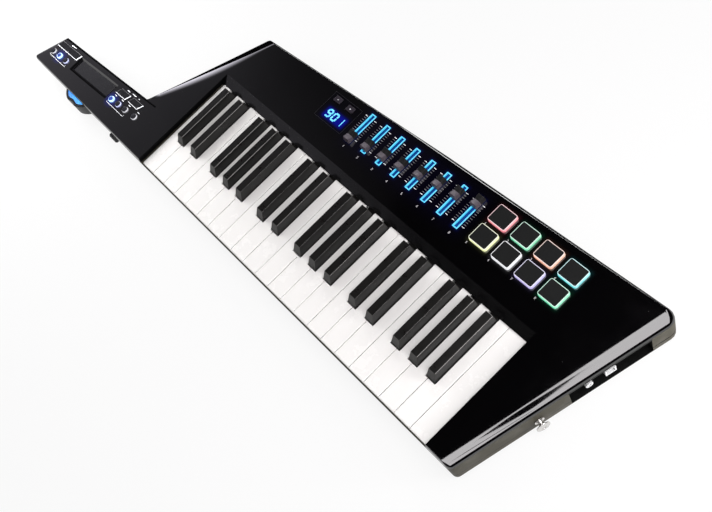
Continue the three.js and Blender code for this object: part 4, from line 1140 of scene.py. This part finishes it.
def digit(name, value, x, y):
    """One seven-segment digit of small bars, leaning to the right."""
    left, right = x - DIGIT_SIZE[0] / 2, x + DIGIT_SIZE[0] / 2
    low, high = y - DIGIT_SIZE[1] / 2, y + DIGIT_SIZE[1] / 2
    gap = DIGIT_GAP
    places = {
        "a": (left + gap, high, right - gap, high), "d": (left + gap, low, right - gap, low),
        "g": (left + gap, y, right - gap, y),
        "f": (left, y + gap, left, high - gap), "b": (right, y + gap, right, high - gap),
        "e": (left, low + gap, left, y - gap), "c": (right, low + gap, right, y - gap),
    }
    bars = []
    for letter in SEGMENTS[value]:
        x0, y0, x1, y1 = places[letter]
        dx, dy = (BAR_END, BAR_HALF) if y0 == y1 else (BAR_HALF, BAR_END)
        bars.append(slab("bar", (x0 - dx, y0 - dy, DIGIT_LOW), (x1 + dx, y1 + dy, DIGIT_HIGH), 0.5, 0, 2))
    piece = joined(name, bars)
    lean = Matrix(((1, DIGIT_LEAN, 0), (0, 1, 0), (0, 0, 1))).to_4x4()
    foot = at(x, y, 0)
    piece.data.transform(Matrix.Translation(foot) @ lean @ Matrix.Translation(-foot))
    return piece


dressed("display_window", "smoked_window", SMOKED, "casing", "smoked", 0.15)
dressed("display_keypad", "display_buttons", DISPLAY_BUTTON, "display_keypad", "rubber", 0.35, 3)
border_low = (WINDOW[0] - 0.25, WINDOW[1] - 0.25, PANEL - 0.2)
border_high = (WINDOW[2] + 0.25, WINDOW[3] + 0.25, PANEL + 0.08)
behind_glass(ring("window_border", border_low, border_high, 0.35, 0.4), BORDER)

# A minus on one button and a plus on the other
for number, x in ((1, 147.5), (2, 169.5)):
    mark = slab("mark", (x - 0.8, 210.9, MARK_LOW), (x + 0.8, 211.5, MARK_LOW + 0.12), 0.2, 0, 2)
    if number == 2:
        upright_bar = slab("mark_2", (x - 0.3, 210.4, MARK_LOW), (x + 0.3, 212.0, MARK_LOW + 0.1), 0.2, 0, 2)
        mark = joined("mark", [mark, upright_bar])
    mark.name = f"display_mark_{number}"
    put(mark, PRINT_WHITE, "display_keypad", "rubber")

for index, value in enumerate("90"):
    behind_glass(digit(f"readout_digit_{index + 1}", value, 152.0 + 10.1 * index, 192.8), DIGIT)
behind_glass(slab("readout_digit_3", (174.6, 187.4, DIGIT_LOW), (175.6, 197.6, DIGIT_HIGH), 0.3, 0, 2), DIGIT)

# ---------------------------------------------------------------- neck buttons, by pairs of radius and height
SKIRT_RINGS = [(4.15, 39.4), (4.15, 41.6), (4.02, 42.0), (3.7, 42.22), (3.2, 42.3)]
DOME_RINGS = [(3.12, 42.2), (3.12, 42.45), (2.95, 42.68), (2.5, 42.86), (1.6, 42.98), (0.6, 43.02)]
WIDE_DOME_RINGS = [(3.86, 41.9), (3.86, 42.35), (3.72, 42.62), (3.3, 42.8), (2.2, 42.94), (0.8, 43.0)]
skirt_shape = smooth(turned("skirt", SKIRT_RINGS, 32), 50)
dome_shape = smooth(turned("dome", DOME_RINGS, 32), 50)
wide_dome_shape = smooth(turned("wide_dome", WIDE_DOME_RINGS, 32), 50)
UNLIT, TINTED, LIT = 0, 1, 2
for keypad, places, levels in (
    ("head_keypad", HEAD_BUTTONS, (UNLIT, LIT, TINTED)), ("neck_keypad", NECK_BUTTONS, (LIT, TINTED, UNLIT, UNLIT))
):
    for index, ((x, y), level) in enumerate(zip(places, levels)):
        skirt = copied(skirt_shape, f"{keypad}_skirt_{index + 1}", x, y)
        put(skirt, (SKIRT_PAINTED_GLOW, SKIRT_BLUE, SKIRT_LIT)[level], keypad, "rubber")
        dome = copied(dome_shape if level == LIT else wide_dome_shape, f"{keypad}_top_{index + 1}", x, y)
        put(dome, TOP_LIT if level == LIT else BUTTON_TOP, keypad, "rubber")
throw_away(skirt_shape, dome_shape, wide_dome_shape)

# ---------------------------------------------------------------- neck prints
FRONT_WEIGHT, FAR_WEIGHT, BRACKET_WEIGHTS = 0.7, 0.3, [0.35, 0.55, 0.35, 0]
# Each box by its name, its dark field's name, its corners from the front left, the weight of its right side
# and the field's share of its size
BOXES = [
    ("head_box", "head_field", [(-256.5, 32.3), (-209.1, 34.0), (-206.3, 43.3), (-254.7, 41.1)], 1.9, (0.96, 0.9)),
    ("neck_box_1", "neck_field_1", [(-113.5, 39.9), (-92.8, 40.5), (-89.5, 49.4), (-109.3, 48.7)], 1.5, (0.92, 0.88)),
    ("neck_box_2", "neck_field_2", [(-86.4, 41.8), (-66.1, 41.9), (-62.0, 50.9), (-82.8, 50.4)], 1.5, (0.92, 0.88)),
]
BRACKETS = {
    "head_bracket": [(-254.2, 18.6), (-254.2, 16.1), (-215.8, 16.5), (-215.8, 18.9)],
    "neck_bracket": [(-113.5, 25.0), (-113.5, 22.8), (-73.9, 23.1), (-73.9, 25.2)],
}
REAR_LINE, REAR_LINE_WEIGHTS = [(-252.5, 46.9), (-66, 58.7), (-45.8, 60.2)], [2.6, 2.2, 0]
DASHES = [
    ((-235.3, 44.6), (-224.9, 45.6), 1.1), ((-101.2, 52.0), (-95.5, 52.1), 1.0),
    ((-90.3, 53.0), (-82.1, 53.1), 1.0), ((-76.2, 53.3), (-74.4, 53.4), 1.0),
] + [((x - 2.0, y + 7.4), (x + 2.4, y + 7.5), 0.9) for x, y in NECK_BUTTONS]


def line(name, start, end, width, z=PANEL):
    """A printed line between two places of the panel."""
    (x0, y0), (x1, y1) = start, end
    length = math.hypot(x1 - x0, y1 - y0)
    piece = block(name, (-length / 2, -width / 2, 0), (length / 2, width / 2, PRINT))
    piece.data.transform(Matrix.Translation(-at(0, 0, 0)))
    piece.data.transform(Matrix.Rotation(math.atan2(y1 - y0, x1 - x0), 4, "Z"))
    piece.data.transform(Matrix.Translation(at((x0 + x1) / 2, (y0 + y1) / 2, z)))
    return piece


def outline(name, corners, weights):
    """A printed frame, its sides of different weight, from the front side round to the left."""
    sides = zip(corners, corners[1:] + corners[:1], weights)
    return joined(name, [line(name, start, end, weight) for start, end, weight in sides if weight])


def fill(name, corners, share):
    """A matt dark field inside a printed frame: a unit block whose corners are drawn to their places."""
    piece = block(name, (0, 0, 0), (1, 1, 1))
    middle = [sum(c[i] for c in corners) / 4 for i in (0, 1)]
    edit(piece, "VERT")
    for (i, j), corner in zip(((0, 0), (1, 0), (1, 1), (0, 1)), corners):
        x, y = (middle[k] + (corner[k] - middle[k]) * share[k] for k in (0, 1))
        pick_none()
        pick_points(lambda p: abs(p[0] - i) < 0.01 and abs(p[1] - j) < 0.01)
        move(x - i, y - j, 0)
    done()
    for point in piece.data.vertices:
        point.co.z = (PANEL + (PRINT * 0.5 if point.co.z > 0.5 * MM else 0)) * MM
    return piece


for name, _, corners, weight, _ in BOXES:
    printed(outline(name, corners, [FRONT_WEIGHT, weight, 0, 0]), PRINT_WHITE)
    printed(outline(f"{name}_far_sides", corners, [0, 0, FAR_WEIGHT, FAR_WEIGHT]), TICK_GREY)
for name, corners in BRACKETS.items():
    printed(outline(name, corners, BRACKET_WEIGHTS), PRINT_WHITE)
printed(joined("neck_dashes", [line("neck_dashes", *dash) for dash in DASHES]), PRINT_WHITE)
for _, name, corners, _, share in BOXES:
    printed(fill(name, corners, share), FIELD)
# The dark line along the neck's rear edge is painted shade in the groove there.
printed(outline("neck_rear_line", REAR_LINE, REAR_LINE_WEIGHTS), PAINTED_SHADE_BLACK)

# ---------------------------------------------------------------- touch strip, wheel, rocker
film = dressed("touch_strip", "strip_film", STRIP, "casing", "dark_plastic", 0.2)
edit(film, "VERT")
pick_points(lambda p: p[2] > 38.8)
move(0, 0, -FILM_SINK)
done()
# Painted shadow in matt black at the head end and along the front edge of the touch strip's recess.
bands = [
    slab("strip_bands", (-202.3, 22.6, FILM_TOP), (-199.4, 39.6, FILM_TOP + PRINT), 0.4, 0, 3),
    line("strip_bands", (-201, 22.6), (-122, 27.0), 0.7, FILM_TOP),
]
put(joined("strip_bands", bands), PAINTED_SHADE_BLACK, "casing", "dark_plastic")
dressed("neck_wheel", "wheel_body", DARK, "neck_wheel", "dark_plastic", 0.9, 3)
dressed("thumb_rocker", "rocker_body", DARK, "thumb_rocker", "dark_plastic", 0.6, 3, 30)


def wheel_crown():
    """The lit ring on the wheel's top face, its rim drawn in at the finger scoop."""
    clear()
    bpy.ops.mesh.primitive_cylinder_add(
        vertices=CROWN_SIDES, radius=CROWN_RADIUS * MM, depth=CROWN_THICK * MM, location=at(*WHEEL, CROWN_Z)
    )
    piece = settle(bpy.context.object, "wheel_crown")
    edit(piece)
    all_points()
    bpy.ops.mesh.bisect(
        plane_co=at(WHEEL[0], WHEEL[1] - CROWN_INSIDE, 0), plane_no=(0, 1, 0), clear_outer=True, use_fill=True
    )
    pick_by("VERT")
    for step in range(CROWN_SIDES):
        angle = math.radians(step * 360 / CROWN_SIDES)
        c, s = math.cos(angle), math.sin(angle)
        off = math.degrees(abs(((angle + math.pi / 2 + math.pi) % (2 * math.pi)) - math.pi))
        if off < SCOOP_HALF_TURN:
            depth = SCOOP_DEPTH * math.cos(math.radians(off * 90 / SCOOP_HALF_TURN))
            x, y = WHEEL[0] + CROWN_RADIUS * c, WHEEL[1] + CROWN_RADIUS * s
            pick_none()
            pick_points(lambda p: abs(p[0] - x) < 0.2 and abs(p[1] - y) < 0.2)
            move(-depth * c, -depth * s, 0)
    done()
    return piece


put(wheel_crown(), CROWN, "neck_wheel", "dark_plastic")

# ---------------------------------------------------------------- strap peg, by pairs of radius and distance out
PEG_RINGS = [
    (2.5, -5), (2.5, 0.3), (5.0, 0.3), (5.4, 0.6), (5.4, 1.1), (4.6, 1.5), (3.5, 2.0), (3.2, 2.7), (3.2, 5.4),
    (3.8, 6.2), (6.2, 6.7), (7.2, 7.0), (7.5, 7.5), (7.4, 8.0), (6.8, 8.4), (5.2, 8.5), (3.2, 8.5), (3.0, 8.2),
    (0.8, 8.3),
]
outwards = Vector((math.sin(END_ANGLE), -math.cos(END_ANGLE), 0))
peg = smooth(turned("peg", PEG_RINGS, 48, end_wall(PEG_ALONG, 0, PEG_Z), outwards), weighted=False)
put(peg, CHROME, "casing", "chrome", "strap_peg")
